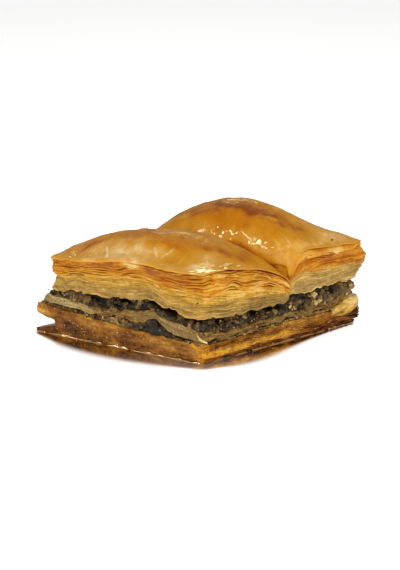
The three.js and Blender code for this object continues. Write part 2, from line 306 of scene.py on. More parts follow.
class Piece:
    """Gathers points, faces and the values that its material reads, then makes one mesh object."""

    def __init__(self, name):
        self.name = name
        self.points, self.faces, self.values = [], [], []
        self.count = 0

    def add(self, points, faces, **values):
        points = points.reshape(-1, 3)
        self.points.append(points)
        self.faces.append(faces + self.count)
        row = np.zeros((len(points), len(VALUE_NAMES)))
        for name, value in values.items():
            row[:, VALUE_NAMES.index(name)] = np.ravel(value) if np.ndim(value) else value
        self.values.append(row)
        self.count += len(points)

    def make(self, material, slot, *nodes, smooth=True):
        mesh = bpy.data.meshes.new(self.name)
        points = np.concatenate(self.points) * MM
        mesh.vertices.add(len(points))
        mesh.vertices.foreach_set("co", points.ravel())
        corners = np.concatenate([f.ravel() for f in self.faces])
        sizes = np.concatenate([np.full(len(f), f.shape[1]) for f in self.faces])
        mesh.loops.add(len(corners))
        mesh.loops.foreach_set("vertex_index", corners.astype(np.int32))
        mesh.polygons.add(len(sizes))
        mesh.polygons.foreach_set("loop_start", (np.cumsum(sizes) - sizes).astype(np.int32))
        mesh.update(calc_edges=True)
        mesh.validate()
        mesh.polygons.foreach_set("use_smooth", np.full(len(mesh.polygons), smooth))
        values = np.concatenate(self.values)
        for k, name in enumerate(VALUE_NAMES):
            attribute = mesh.attributes.new(name, "FLOAT", "POINT")
            attribute.data.foreach_set("value", values[:, k].astype(np.float32))
        mesh.materials.append(material)
        piece = add_object(self.name, mesh)
        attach(piece, "root")
        if nodes:
            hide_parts(*nodes)
        return piece


def rings(piece, points, **values):
    """points holds one closed ring for each level, from the bottom up."""
    levels, around = points.shape[:2]
    low = np.arange(levels - 1)[:, None] * around
    here = np.arange(around)
    there = (here + 1) % around
    faces = np.stack([low + here, low + around + here, low + around + there, low + there], -1)
    values = {k: np.broadcast_to(v, (levels, around)) for k, v in values.items()}
    piece.add(points, faces.reshape(-1, 4), **values)


def cap(piece, ring, tone, wet):
    """Closes a stack with a flat face inside its last ring."""
    levels = [mix(ring, ring.mean(0), inward) for inward in (0, 0.35, 0.7, 0.999)]
    rings(piece, np.array(levels), tone=tone, leaf=0, wet=wet)


def grid_faces(rows, columns):
    index = np.arange(rows * columns).reshape(rows, columns)
    return np.stack([index[:-1, :-1], index[:-1, 1:], index[1:, 1:], index[1:, :-1]], -1).reshape(-1, 4)


def leaf_edges(count, x, y, size, contrast, seed):
    """Rising shares from 0 to 1 between count leaves, which open and close against each other."""
    gaps = [np.exp(contrast * noise(x / size, y / size, seed + 1.7 * k)) for k in range(count)]
    edges = np.cumsum([0 * x] + gaps, axis=0)
    return edges / edges[-1]


def short_end(amount, v_row):
    """The shift that ends a layer early: by the whole amount at its near side, and less behind."""
    return -amount * (0.55 + 0.45 * np.exp(-4 * v_row))


def top_short(share, compact):
    """How far a top stops short of the left end, from its foot up to its skin."""
    steps = [0, 0.78 * compact, compact, compact + 0.03, 1]
    return np.interp(share, steps, [5.9, 8.0, 9.0, 7.0, 7.1])


class Lobe:
    """One of the two puffed tops: a compact part, then loose leaves, then a skin.

    compact is the share of the height that the compact part takes, and compact_right the larger share
    that it takes at the right side.
    """

    def __init__(self, name, start, stop, dome, compact, compact_right, front):
        self.name = name
        self.block = Block(start, stop, above(upper_nut_top), dome)
        self.compact = compact
        self.front = front
        self.rim = Rim(self.block)
        self.seed = 3 if front else 47
        self.rim_compact = mix(compact, compact_right, grow(self.rim.u, 0.35, 0.05))
        self.cut = self.cut_side(self.rim)
        self.right = self.rim.sides(0, 0, 0, 1)
        self.crumbly = self.right if front else 0 * self.right

    def cut_side(self, rim):
        """1 on the side that the score has cut, which faces the other lobe."""
        return rim.sides(0, 0, 1, 0) if self.front else rim.sides(1, 0, 0, 0)

    def shifts(self, u, v, share):
        """How the cut sides wander from the plan outline at one height, along s and along t."""
        row = mix(self.block.start, self.block.stop, v)
        proud = (0.5 if self.front else -0.5) * bump(row, SCORE_AT, 0.09)
        ds = short_end(top_short(share, self.compact), row) * u**3 - proud * (1 - u) ** 3
        dt = 0 * u
        if not self.front:
            flap = 3.0 * bump(share, 0.52, 0.3) * grow(share, 1, 0.7)
            tuck = 1.4 * bump(share, 0, 0.2)
            dt = (flap - tuck) * bump(u, 0, 0.08) * v**3
        return ds, dt

    def lay(self, rim, stations, share, thick, reach, lift, droop, bulge=0.35, skin=False):
        """Rings of a thin leaf from its inner underside, over its edge and back in on top.

        stations are (depth, drop) pairs from inside outwards. A drop is the share of droop that the
        leaf has bent down there. skin adds the relief of the baked top.
        """
        outs, heights, spots = [], [], []
        for depth, drop in stations:
            u, v = rim.inset(depth)
            bulging = bulge * np.sqrt(droop) * math.sin(math.pi * drop)
            out = reach * math.exp(-depth / 1.6) + bulging + 0.05 * drop
            x, y = rim.out(*self.block.at(u, v, *self.shifts(u, v, share)), out)
            z = self.block.height(x, y, share) + lift * math.exp(-depth / 4) - droop * drop
            if skin:
                z = z + skin_relief(self, x, y)
            outs.append(out - depth)
            heights.append(z)
            spots.append((x, y))
        outs, heights = np.array(outs), np.array(heights)
        run, rise = np.gradient(outs, axis=0), np.gradient(heights, axis=0)
        size = np.hypot(run, rise)
        run, rise = run / size, rise / size

        def ring(k, side, extra=0.0):
            """One ring, side above the middle of the leaf and extra past the end of it."""
            x, y = rim.out(*spots[k], extra * run[k] - side * rise[k])
            return np.stack([x, y, heights[k] + side * run[k] + extra * rise[k]], -1)

        last = len(stations) - 1
        below = [ring(k, -thick / 2) for k in range(1, last + 1)]
        on_top = [ring(k, thick / 2) for k in range(last, -1, -1)]
        return np.array(below + [ring(last, 0, 0.4 * thick)] + on_top)


def skin_relief(lobe, x, y):
    """Gentle swells, wrinkles and creases of the baked top."""
    swell = waver(x, y, lobe.seed, (0.22, 9, 0), (0.14, 4, 5), (0.1, 1.8, 7))
    wrinkle = 0.09 * (1 - np.abs(noise(x / 2.6, y / 1.7, lobe.seed + 9))) ** 6
    s, v = lobe.block.shares(x, y)
    if lobe.front:
        puckered = bump(s, 0.03, 0.06) * bump(v, 0.12, 0.15)
    else:
        puckered = bump(v, 0.08, 0.07) * grow(s, 0.6, 0.5)
        puckered = puckered + 0.7 * bump(s, 0.12, 0.07) * bump(v, 0.1, 0.08)
    small = waver(x, y, lobe.seed, (0.14, 1.2, 8), (0.08, 0.6, 6))
    small = small + 0.16 * noise(x / 2.4, y / 1.7, lobe.seed + 3)
    return swell - wrinkle + crease_height(lobe, x, y) + puckered * small


# Where the rings of a leaf lie: how far in from its edge, and the share of its droop there.
LEAF_STATIONS = [(5, 0), (1.8, 0), (0.7, 0.06), (0.2, 0.3), (0, 0.65), (0, 1)]
BENT_STATIONS = [(5, 0), (2.6, 0), (1.3, 0), (0.6, 0.03), (0.2, 0.14), (0, 0.4), (0, 0.7), (0, 1)]
SKIN_STATIONS = [(5, 0), (2.6, 0), (1.2, 0), (0.6, 0.05), (0.2, 0.25), (0, 0.6), (0, 1)]


def lobe_leaves(lobe, count):
    """The leaves that stand apart between the compact part and the skin."""
    piece = Piece(lobe.name + "_leaves")
    rim = lobe.rim
    x, y = rim.x, rim.y
    amount = rim.sides(0.4, 0.6, 0.6, 0.9)
    fine = 0.12 + 0.1 * lobe.crumbly  # how uneven the edges are from bit to bit
    edges = leaf_edges(count, x, y, 6.5, 1.9, lobe.seed)
    for k in range(count):
        part = (k + 0.5) / count
        share = mix(lobe.rim_compact, 0.95, (edges[k] + edges[k + 1]) / 2)
        z = lobe.seed + 0.9 * k
        slow = mix(0.5, 0.9, lobe.right) * 4 * part * (1 - part)
        quick = mix(0.2, 0.35, lobe.right)
        lift = amount * waver(x, y, lobe.seed, (slow, 8, 0.17 * k), (quick, 3.4, 0.3 * k))
        lift = lift + waver(x, y, lobe.seed, (0.2 * lobe.crumbly, 1.5, 0.7 * k))
        ragged = waver(x, y, z, (0.6, 7, 20), (0.4, 2.6, 40))
        crumbly = waver(x, y, z, (fine, 0.9, 60))
        reach = amount * (mix(0.1, 0.35, part) + ragged * mix(0.6, 1, part)) + crumbly
        reach = mix(reach, -0.4 + 0.3 * crumbly - 0.8 * bump(rim.u, 0, 0.1), lobe.cut)
        droop = 0.12 + 1.3 * amount * ease(0.3 + waver(x, y, z, (1.3, 5, 80)))
        stations = LEAF_STATIONS
        bent = k == count - 1
        if bent:
            reach = reach - 0.3
            droop = np.maximum(0.15, bent_droop(lobe) * (0.9 + waver(x, y, z, (0.2, 5, 0))))
            stations = BENT_STATIONS
        thick = 0.3 + 0.06 * lobe.right + waver(x, y, z, (0.1, 3, 90))
        points = lobe.lay(rim, stations, share, thick, reach, lift, droop)
        inside = np.array([d for d, _ in stations[1:]] + [0] + [d for d, _ in stations[::-1]])[:, None]
        below = np.arange(len(points))[:, None] < len(stations) - 1
        tone = mix(0.76, 0.5 if lobe.front else 0.77, lobe.right) + waver(x, y, 0, (0.2, 9, 2.3 * k))
        tone = tone - mix(0.3, 0.02, lobe.right) * grow(part, 0.55, 0)
        # Painted shade: the leaves are darker further in between them and on their undersides.
        tone = tone + 0.25 * ease(inside / 1.3) + 0.1 * below
        tone = tone + waver(points[..., 0], points[..., 1], z, (0.18, 5, 0), (fine, 1.1, 3))
        if bent:
            # Painted shadow: on the front, the bent sheet is darker further in, under the skin's edge.
            tone = tone + (0.18 + 0.3 * grow(inside, 0.1, 0.6) if lobe.front else -0.3)
            for u, v, wide, paler in BLISTERS[lobe.name]:
                tone = tone - paler * rim.spot(u, v, wide, wide)
        along = k + 0.2 * np.arange(len(points))[:, None]
        rings(piece, points, tone=clamp(tone), leaf=along, wet=0.4 + 0.3 * part)
    lobe_core(piece, lobe)
    return piece


def bent_droop(lobe):
    """How far the second sheet is bent down round the lobe."""
    rim = lobe.rim
    if lobe.front:
        return rim.sides(2.6, 0.8, 0, 0.5) * mix(0.2, 1, ease(rim.u / 0.16) * grow(rim.u, 1, 0.9))
    return rim.sides(0, 0.6, 0.6, 2.4) * mix(0.2, 1, grow(rim.v, 1, 0.8))


# Pale blisters on the bent second sheet: u, v, width and how pale.
BLISTERS = {
    "front": [(0.42, 0, 0.05, 1.1), (0.13, 0, 0.035, 0.6), (0.05, 0, 0.02, 0.6), (0.75, 0, 0.06, 0.4)],
    "back": [(0, 0.25, 0.08, 0.3), (0, 0.6, 0.1, 0.2)],
}


def inner_ring(rim, depth, share, shifts):
    """The outline at one share of the height, moved in by depth."""
    u, v = rim.inset(depth)
    x, y = rim.block.at(u, v, *shifts(u, v, share))
    return np.stack([x, y, rim.block.height(x, y, share)], -1)


def lobe_core(piece, lobe, depth=0.75):
    """What closes the gaps behind the leaves, painted dark as the shade deep in them."""
    shares = [mix(lobe.rim_compact, 0.97, part) for part in np.linspace(-0.1, 0.97, 12)]
    levels = [inner_ring(lobe.rim, depth, share, lobe.shifts) for share in shares]
    # A dark tone as painted shade in the gaps, less dark on the cut side near the right end.
    tone = 0.92 - 0.3 * lobe.cut * bump(lobe.rim.u, 0, 0.15)
    rings(piece, np.array(levels), tone=tone, leaf=0, wet=0.5)


def compact_layers(piece, rim, count, top, seed, wet, line, vary):
    """A stack of leaves baked together, with a fine groove between each two.

    top is the share of the block's height where the stack ends, and line is how much darker the grooves
    are painted, as shade in them. vary holds the functions that say how one height of the stack differs.
    """
    shifts, ragged, groove, lift, tone, gold = vary
    block = rim.block
    levels, tones, stains, leaves = [], [], [], []
    edges = leaf_edges(count, rim.x, rim.y, 6, 0.9, seed)
    for k in range(count):
        z = seed + 0.8 * k
        edge = ragged(rim.x, rim.y, (k + 0.5) / count, z)
        deep = groove(rim.x, rim.y, z)
        for part, inward in ((0.06, 1), (0.24, 0.12), (0.74, 0), (0.92, 0.9)):
            share = top * mix(edges[k], edges[k + 1], part)
            x, y = rim.out(*block.at(rim.u, rim.v, *shifts(rim.u, rim.v, share)), edge - deep * inward)
            levels.append(np.stack([x, y, block.height(x, y, share) + lift(x, y, share)], -1))
            # The rings inside a groove are painted darker by line, as shade.
            tones.append(tone(x, y, share, k) - line * (inward > 0.5))
            stains.append(gold(x, y, share) + 0 * x)
            leaves.append(np.full(rim.count, k + part))

    floor, roof = (inner_ring(rim, 4, share, shifts) for share in (0, top))
    levels = [floor] + levels + [roof]
    tones, stains, leaves = (np.array(v[:1] + v + v[-1:]) for v in (tones, stains, leaves))
    rings(piece, np.array(levels), tone=clamp(tones), leaf=leaves, wet=wet, gold=clamp(stains))


def lobe_compact(lobe, count):
    """The compact leaves at the foot of a lobe."""
    piece = Piece(lobe.name + "_compact")
    rim = lobe.rim
    right = lobe.right
    amount = rim.sides(0.5, 0.6, 0.6, 1.0)
    near = rim.spot(0, 0, 0.12, 0.25)
    foot = waver(rim.x, rim.y, lobe.seed, (0.5, 2.4, 0), (0.5, 1.1, 3))
    if lobe.front:
        foot = foot + 0.7 * rim.spot(0.17, 0, 0.07, 0.1) - 0.9 * rim.spot(0.36, 0, 0.07, 0.1)

    def ragged(x, y, part, z):
        edge = amount * waver(x, y, z, (0.24, 5, 0), (0.18, 1.7, 30)) + waver(x, y, z, (0.1, 0.9, 50))
        return mix(edge + 0.3 * right, -0.35, lobe.cut)

    def groove(x, y, z):
        return np.maximum(0.03, mix(0.12, 0.4, right) + waver(x, y, z, (0.3, 4, 70)))

    def lift(x, y, share):
        rising = share / lobe.rim_compact
        slow = waver(x, y, lobe.seed, (0.35, 7, 5 * share), (0.16, 3, 9 * share))
        return ease(rising / 0.25) * slow + grow(rising, 0.3, 0) * (foot + 0.15)

    def tone(x, y, share, k):
        rising = share / lobe.rim_compact
        level = 0.52 + 0.22 * rising + waver(x, y, k, (0.16, 6, -0.2 * k), (0.12, 1.5, k))
        level = level + 0.3 * lobe.crumbly * grow(rising, 0.45, 0.75) + 0.2 * grow(rising, 0.2, 0)
        if lobe.front:
            return level - grow(rising, 0.5, 0.2) * (0.1 + 0.06 * right - 0.16 * near)
        return level + 0.06

    def gold(x, y, share):
        rising = share / lobe.rim_compact
        spots = 0.7 * ease(waver(x, y, 12 * share, (1.6, 3.5, 0)) - 0.2) * grow(rising, 0.4, 0.7)
        soaked = (0.38 + 0.25 * near - 0.35 * right * grow(rising, 0.4, 0.1)) if lobe.front else 0
        return soaked + 0.5 * grow(rising, 0.35, 0.85) + spots + grow(rising, 0.85, 1)

    vary = (lobe.shifts, ragged, groove, lift, tone, gold)
    compact_layers(piece, rim, count, lobe.rim_compact, lobe.seed, 0.3, mix(0.06, 0.14, right), vary)
    return piece


# Browned and pale places on the two skins: u, v, their widths, and how much darker.
MARKS = {
    "front": [
        (0.77, 0.22, 0.04, 0.07, 0.48),
        (0.66, 0.38, 0.14, 0.13, 0.34),
        (0.48, 0.38, 0.14, 0.13, 0.32),
        (0.30, 0.38, 0.12, 0.12, 0.24),
        (0.50, 0.60, 0.35, 0.15, 0.20),
        (0.27, 0.25, 0.06, 0.06, 0.22),
        (0.37, 0.26, 0.06, 0.05, 0.15),
        (0.19, 0.36, 0.05, 0.05, 0.35),
        (0.105, 0.46, 0.06, 0.06, 0.42),
        (0.065, 0.58, 0.05, 0.09, 0.38),
        (0.30, 0.62, 0.16, 0.12, 0.10),
        (0.12, 0.74, 0.10, 0.12, 0.28),
        # The next three pale rows, over the satin patch, paint its sheen.
        (0.54, 0.12, 0.09, 0.08, -0.17),
        (0.42, 0.14, 0.08, 0.08, -0.17),
        (0.32, 0.17, 0.06, 0.07, -0.17),
        (0.72, 0.10, 0.10, 0.07, -0.12),
        (0.05, 0.10, 0.07, 0.12, -0.20),
        (0.05, 0.30, 0.04, 0.10, -0.10),
        # This pale row is a painted highlight along the front edge.
        (0.50, 0.00, 0.40, 0.05, -0.15),
    ],
    "back": [
        (0.49, 0.375, 0.10, 0.05, 0.36),
        (0.62, 0.235, 0.05, 0.03, 0.22),
        (0.34, 0.335, 0.018, 0.03, 0.34),
        (0.27, 0.400, 0.022, 0.025, 0.34),
        (0.195, 0.335, 0.03, 0.02, 0.26),
        (0.145, 0.390, 0.03, 0.02, 0.26),
        (0.118, 0.455, 0.02, 0.02, 0.16),
        (0.245, 0.335, 0.025, 0.02, -0.34),
        (0.19, 0.480, 0.03, 0.05, -0.14),
        (0.45, 0.40, 0.40, 0.18, 0.56),
        (0.60, 0.28, 0.20, 0.08, 0.16),
        (0.50, 0.155, 0.12, 0.045, 0.08),
        (0.32, 0.165, 0.12, 0.045, 0.15),
        (0.12, 0.11, 0.06, 0.05, -0.06),
        (0.02, 0.35, 0.025, 0.25, -0.22),
        (0.06, 0.70, 0.07, 0.20, -0.22),
        (0.16, 0.60, 0.08, 0.12, -0.10),
    ],
}
# Places that the syrup stains deeper: u, v, their widths, and how deep the stain is.
STAINS = {
    "front": [
        (0.28, 0.26, 0.08, 0.07, 0.8),
        (0.37, 0.27, 0.06, 0.05, 0.5),
        (0.77, 0.22, 0.05, 0.08, 0.9),
        (0.85, 0.14, 0.12, 0.12, 0.5),
    ],
    "back": [
        (0.42, 0.18, 0.28, 0.09, 1.0),
    ],
}
# Fine creases in the skins: where each starts and ends (u, v), and its height.
CREASES = {
    "front": [
        (0.67, 0.22, 0.56, 0.02, 0.24),
        (0.38, 0.21, 0.30, 0.08, 0.18),
        (0.27, 0.24, 0.29, 0.09, 0.18),
        (0.20, 0.26, 0.18, 0.06, 0.10),
        (0.14, 0.30, 0.02, 0.12, 0.10),
        (0.10, 0.14, 0.00, 0.22, 0.10),
        (0.08, 0.40, 0.00, 0.28, 0.12),
        (0.84, 0.12, 0.74, 0.01, 0.10),
    ],
    "back": [
        (0.28, 0.36, 0.22, 0.39, 0.10),
        (0.22, 0.39, 0.14, 0.33, 0.08),
        (0.16, 0.13, 0.08, 0.07, 0.14),
        (0.13, 0.20, 0.04, 0.13, 0.12),
        (0.10, 0.05, 0.03, 0.15, 0.12),
    ],
}


def crease_height(lobe, x, y):
    """How high the creases in a skin stand at x and y."""
    total = 0 * x
    for u0, v0, u1, v1, height in CREASES[lobe.name]:
        ax, ay = lobe.block.at(u0, v0)
        bx, by = lobe.block.at(u1, v1)
        along = clamp(((x - ax) * (bx - ax) + (y - ay) * (by - ay)) / ((bx - ax) ** 2 + (by - ay) ** 2))
        away = np.hypot(x - mix(ax, bx, along), y - mix(ay, by, along))
        wobble = np.abs(waver(x, y, 3, (0.3, 1.5, 0)))
        total = total + height * np.sin(math.pi * along) ** 0.5 * bump(away, wobble, 0.26)
    return total


def marked(marks, u, v):
    """How much each of the marks adds at u and v."""
    return [
        amount * bump(u, at_u, wide) * bump(v, at_v, deep)
        for at_u, at_v, wide, deep, amount in marks
    ]


def skin_values(lobe, x, y):
    """Tone, wetness and syrup stain of the skin: browned places are drier. Creases are painted lighter,
    as highlights, and the back skin next to the score is painted darker, as shade.
    """
    s, v = lobe.block.shares(x, y)
    bent_s = s + waver(x, y, lobe.seed, (0.02, 4, 11), (0.01, 1.5, 0))
    bent_v = v + waver(x, y, lobe.seed, (0.04, 4, 17), (0.02, 1.5, 6))
    marks = marked(MARKS[lobe.name], bent_s, bent_v)
    browned = sum(np.maximum(mark, 0) for mark in marks)
    stain = sum(marked(STAINS[lobe.name], bent_s, bent_v))
    tone = 0.32 + waver(x, y, lobe.seed, (0.08, 7, 0), (0.07, 3, 2), (0.05, 1.2, 4))
    # Creases are painted lighter than the skin round them, as a highlight.
    tone = tone + sum(marks) - 1.3 * crease_height(lobe, x, y)
    if lobe.front:
        edge = bump(v, 0, 0.07) * grow(s, 0.1, 0.16)
        wet = mix(0.8, 0.1, grow(v, 0.28, 0.38)) * (1 - 0.9 * edge)
        score_shade = 0
    else:
        wet = mix(0.7, 0.3, grow(v, 0.3, 0.5)) * grow(v, 0.02, 0.07)
        # Painted shade: next to the score the back skin is made darker and deeper in colour, as if in the
        # front lobe's shadow.
        score_shade = 0.6 * ease((0.03 + 0.04 * bump(s, 0.33, 0.1) - v) / 0.025) * grow(s, 0.5, 0.3)
        score_shade = score_shade * mix(0.15, 1, grow(s, 0.04, 0.14))
    return {"tone": clamp(tone + score_shade), "wet": clamp(wet - browned), "gold": clamp(stain + score_shade)}


def lobe_skin(lobe):
    """The glossy top sheet, bent over at its edges."""
    piece = Piece(lobe.name + "_skin")
    rim = Rim(lobe.block, SKIN_STEP, 4)
    x, y = rim.x, rim.y
    reach = rim.sides(0.4, 0.6, 0.5, 0.6) * (0.9 + waver(x, y, lobe.seed, (0.35, 7, 0)))
    reach = reach + waver(x, y, lobe.seed, (0.1, 1.5, 1))
    reach = mix(reach, -0.3 - 0.7 * bump(rim.u, 0, 0.1), lobe.cut_side(rim))
    lift = waver(x, y, lobe.seed, (0.15, 5, 2))
    if lobe.front:
        droop = rim.sides(0.6, 0.5, 0.5, 0.3) + 0.6 * rim.spot(0.6, 0, 0.25, 0.1)
    else:
        droop = rim.sides(0.8, 0.5, 0.5, 0.4)
    droop = droop * mix(0.5, 1, ease(rim.u / 0.15))
    points = lobe.lay(rim, SKIN_STATIONS, 1, SKIN_THICK, reach, lift, droop, bulge=0.2, skin=True)
    # The rings stop where the sheet begins to bend, and a grid of the same step closes the top.
    outer = points[:-3]
    rings(piece, outer, leaf=0, **skin_values(lobe, outer[..., 0], outer[..., 1]))
    depth = SKIN_STATIONS[3][0]
    across, along = rim.wide + 1, rim.long + 1
    u, v = np.meshgrid(np.linspace(0, 1, along), np.linspace(0, 1, across), indexing="ij")
    u, v = lobe.block.inset(u, v, depth)
    gx, gy = lobe.block.at(u, v, *lobe.shifts(u, v, 1))
    gz = lobe.block.height(gx, gy, 1) + skin_relief(lobe, gx, gy) + SKIN_THICK / 2
    grid = np.stack([gx, gy, gz], -1)
    i, j = np.arange(along), np.arange(across)
    edge_i = np.concatenate([i[:-1], np.full(across - 1, along - 1), i[:0:-1], np.zeros(across - 1, int)])
    edge_j = np.concatenate([np.zeros(along - 1, int), j[:-1], np.full(along - 1, across - 1), j[:0:-1]])
    offset = outer[-1] - grid[edge_i, edge_j]
    grid[edge_i, edge_j] = outer[-1]
    near_edge_fade(grid, offset, edge_i, edge_j)
    piece.add(grid, grid_faces(along, across), leaf=0, **skin_values(lobe, gx, gy))
    return piece


def near_edge_fade(grid, offset, edge_i, edge_j):
    """Carries the offset of the edge a little way into the grid, so that no step shows."""
    rows, columns = grid.shape[:2]
    for depth in range(1, 7):
        share = 1 - ease(depth / 7)
        i = np.clip(edge_i, depth, rows - 1 - depth)
        j = np.clip(edge_j, depth, columns - 1 - depth)
        keep = (i != edge_i).astype(int) + (j != edge_j).astype(int) == 1
        grid[i[keep], j[keep]] += share * offset[keep]


def middle_layers():
    """The pale pastry between the nut layers."""
    rim = Rim(Block(0, 1, above(lower_nut_top), middle_top))
    piece = Piece("middle_leaves")
    amount = rim.sides(0.6, 0.8, 0.9, 1.0)
    corner = rim.spot(0, 1, 0.1, 0.1)
    pale = rim.spot(0.85, 0, 0.13, 0.2)
    at_right = bump(rim.u, 0, 0.04) * (0.6 + 0.2 * grow(rim.v, 0.5, 0.3) + 0.3 * grow(rim.v, 0.7, 0.85))
    dirty = rim.spot(0.5, 0, 0.18, 0.1) + at_right
    edge_lift = waver(rim.x, rim.y, 7, (0.4, 3, 0), (0.45 * (0.4 + dirty), 1.2, 1))

    def shifts(u, v, share):
        return short_end(mix(2.2, 4.2, share), v) * u**3, -0.3 * bump(u, 0, 0.12) * v**3

    def ragged(x, y, part, z):
        return amount * waver(x, y, z, (0.3, 5, 0), (0.3 * (0.6 + dirty), 1.8, 30)) - 0.1

    def groove(x, y, z):
        return np.maximum(0.03, 0.1 + waver(x, y, z, (0.25, 3, 70))) * (1 - corner)

    def lift(x, y, share):
        return share * (1 - share) * noise(x / 5, y / 5, 6 * share + 3) + edge_lift * (2 * share - 1) ** 2

    def tone(x, y, share, k):
        mottle = waver(x, y, k, (0.2, 6, -0.2 * k), (0.25 * dirty, 1.6, k))
        return 0.56 + 0.3 * pale * (0.4 + share) - 0.22 * dirty + mottle

    def gold(x, y, share):
        return 0.5 * dirty

    compact_layers(piece, rim, 8, 1, 21, 0.45, 0.1, (shifts, ragged, groove, lift, tone, gold))
    return piece


# How far the base stands out at each share of its height: at its front, its right side and its right
# corner, how far it stops short at the left end, and the flaps and steps of its left corner.
BASE_SHARES = [0, 0.13, 0.2, 0.29, 0.52, 0.63, 0.78, 0.9, 1]
BASE_REACH = {
    "front": [-0.2, 0.1, -0.3, -0.3, 0.1, -0.1, 0.2, -0.1, -0.2],
    "right": [-0.7, 0.2, -0.9, 0.4, 0.5, -0.1, 0.1, -0.1, -0.3],
    "corner": [-1.0, -0.8, -0.2, 0.2, 0.6, 1.1, 1.1, 1.0, 0.8],
    "short": [-0.8, -0.8, 0, 0, 0, 0, 0, 0.1, 0.3],
    "split": [0, 0, 1.55, 6.2, 6.2, -0.5, 0, 0, 0],
    "step": [0, 0, 0.4, 0.4, 0.4, 0.4, 0, 0, 0],
}


def base_shifts(u, v, share):
    """How far the base's outline is moved at one height, along s and along t."""
    def at(key):
        return np.interp(share, BASE_SHARES, BASE_REACH[key])

    end = short_end(at("short"), v) - at("split") * bump(v, 0, 0.16) - at("step")
    ds = end * u**3 - at("right") * (1 - u) ** 3
    dt = at("corner") * bump(u, 0, 0.12) * v**3 - at("front") * (1 - v) ** 3
    return ds, dt


def base_block():
    return Block(0, 1, lambda s, t: 0 * s, base_top)


def base_layers():
    """The syrup-soaked leaves at the bottom, split in two at the left corner."""
    rim = Rim(base_block(), 0.4)
    piece = Piece("base_leaves")
    right = rim.sides(0, 0, 0, 1)
    other = 1 - right
    near = rim.spot(0, 0, 0.05, 0.07)
    flap = rim.spot(1, 0, 0.1, 0.15)
    bubbly = bump(rim.u, 0.62, 0.26) * other

    def ragged(x, y, part, z):
        frill = waver(x, y, z, (0.6, 2.8, 0), (0.3, 1.1, 30))
        calm = waver(x, y, 0, (0.14, 4, 2 * part), (0.12, 1.6, 6 * part))
        calm = calm + bubbly * bump(part, 0.35, 0.25) * waver(x, y, z, (0.3, 0.8, 0))
        return mix(calm, frill, right * bump(part, 0.45, 0.3)) - 0.05

    def groove(x, y, z):
        return np.maximum(0.02, 0.02 + waver(x, y, z, (0.12, 3, 70)) + 0.35 * right)

    def lift(x, y, share):
        calm = waver(x, y, 0, (0.3, 4, 6 * share), (0.16, 1.6, 9 * share), (0.3 * right, 2.4, 9 * share))
        edge = waver(x, y, 3, (0.3, 2.2, 0), (0.3, 0.9, 2))
        return 4 * share * (1 - share) * calm + edge * grow(share, 0.8, 1)

    def tone(x, y, share, k):
        high = grow(share, 0.5, 0.7)
        level = 0.32 + 0.13 * share + waver(x, y, 0, (0.22, 5, 4 * share), (0.18, 1.8, 7 * share))
        level = level + 0.6 * right * bump(share, 0.45, 0.18) * grow(rim.v, 0.75, 0.45)
        level = level + 0.3 * high * (right * bump(rim.v, 0.68, 0.16) + flap)
        level = level + near * (0.38 - 0.3 * share)
        level = level + 0.14 * other * grow(share, 0.7, 0.9) * bump(rim.u, 0.5, 0.2)
        level = level + 0.1 * other * grow(rim.u, 0.4, 0.2) - 0.16 * right * grow(rim.v, 0.55, 0.75)
        level = level - 0.1 * rim.spot(0.87, 0, 0.1, 0.1) * grow(share, 0.4, 0.6)
        level = level - mix(0.16, 0.25, right) * grow(share, 0.2, 0.08)
        level = level - 0.14 * bump(rim.u, 0.85, 0.07) * bump(share, 0.35, 0.2)
        return level - 0.14 * bubbly * bump(share, 0.35, 0.25)

    def gold(x, y, share):
        stain = bump(rim.u, 0.88, 0.06) * bump(share, 0.3, 0.2)
        stain = stain + bump(rim.u, 0.45, 0.15) * grow(share, 0.5, 0.7)
        return 0.5 * stain * other + 0.4 * right * bump(share, 0.45, 0.2) + near

    vary = (base_shifts, ragged, groove, lift, tone, gold)
    compact_layers(piece, rim, 11, 1, 33, 0.95, 0.1 * right, vary)
    cap(piece, piece.points[0][rim.count - 1 :: -1], 0.35, 0.9)
    return piece


def corner_puff(length=6.2, depth=3.2, below=2.7, over=3.4, middle=6.2):
    """The soft fold of pastry that bulges out at the right corner, thinning towards the front.

    length, depth, below and over say how far it reaches from its middle, which is at height middle.
    """
    piece = Piece("corner_puff")
    around = np.linspace(0, 2 * math.pi, 73)[:-1][None]
    up = np.linspace(-0.5 * math.pi, 0.5 * math.pi, 37)[1:-1][:, None]
    along = length * np.cos(up) * np.cos(around)
    full = 0.7 + 0.3 * ease((along + 5.5) / 7)
    level = np.sin(up) + 0 * around
    fold = noise(along / 2.6, 2.2 * level, 9)
    out = depth * np.cos(up) * np.sin(around) * full + 0.5 * fold
    high = np.where(level < 0, below, over) * level * full + 0.24 * along
    high = high + waver(along, out, 6, (0.2, 1.5, 0))
    crease = bump(level, 0.35 + 0.1 * along, 0.14) * grow(along, 1.5, -1.5)
    out = out - 0.7 * crease * (np.sin(around) > 0) * np.sin(around)
    x, y = plan(0.02, 0.922)
    cos, sin = math.cos(SLANT_ANGLE), math.sin(SLANT_ANGLE)
    x, y = x + along * cos + out * sin, y + along * sin - out * cos
    points = np.stack([x, y, np.maximum(middle + high, 0.3)], -1)
    low = grow(level, 0.5, -0.4)
    stain = bump(along, -2.6, 2.2) * bump(level, 0.8, 0.3)
    # Darker underneath, partly soaked with syrup and partly as painted shade; the crease is painted
    # darker as shade.
    tone = 0.92 - 0.4 * low - 0.45 * grow(level, -0.15, -0.75) - 0.35 * stain - 0.3 * crease
    tone = tone + 0.2 * noise(along / 1.6, high / 0.9, 2) - 0.15 * fold
    gold = clamp(0.25 + 0.9 * low + 0.5 * crease + 0.8 * stain)
    rings(piece, points, tone=clamp(tone), leaf=high, wet=0.9, gold=gold)
    return piece


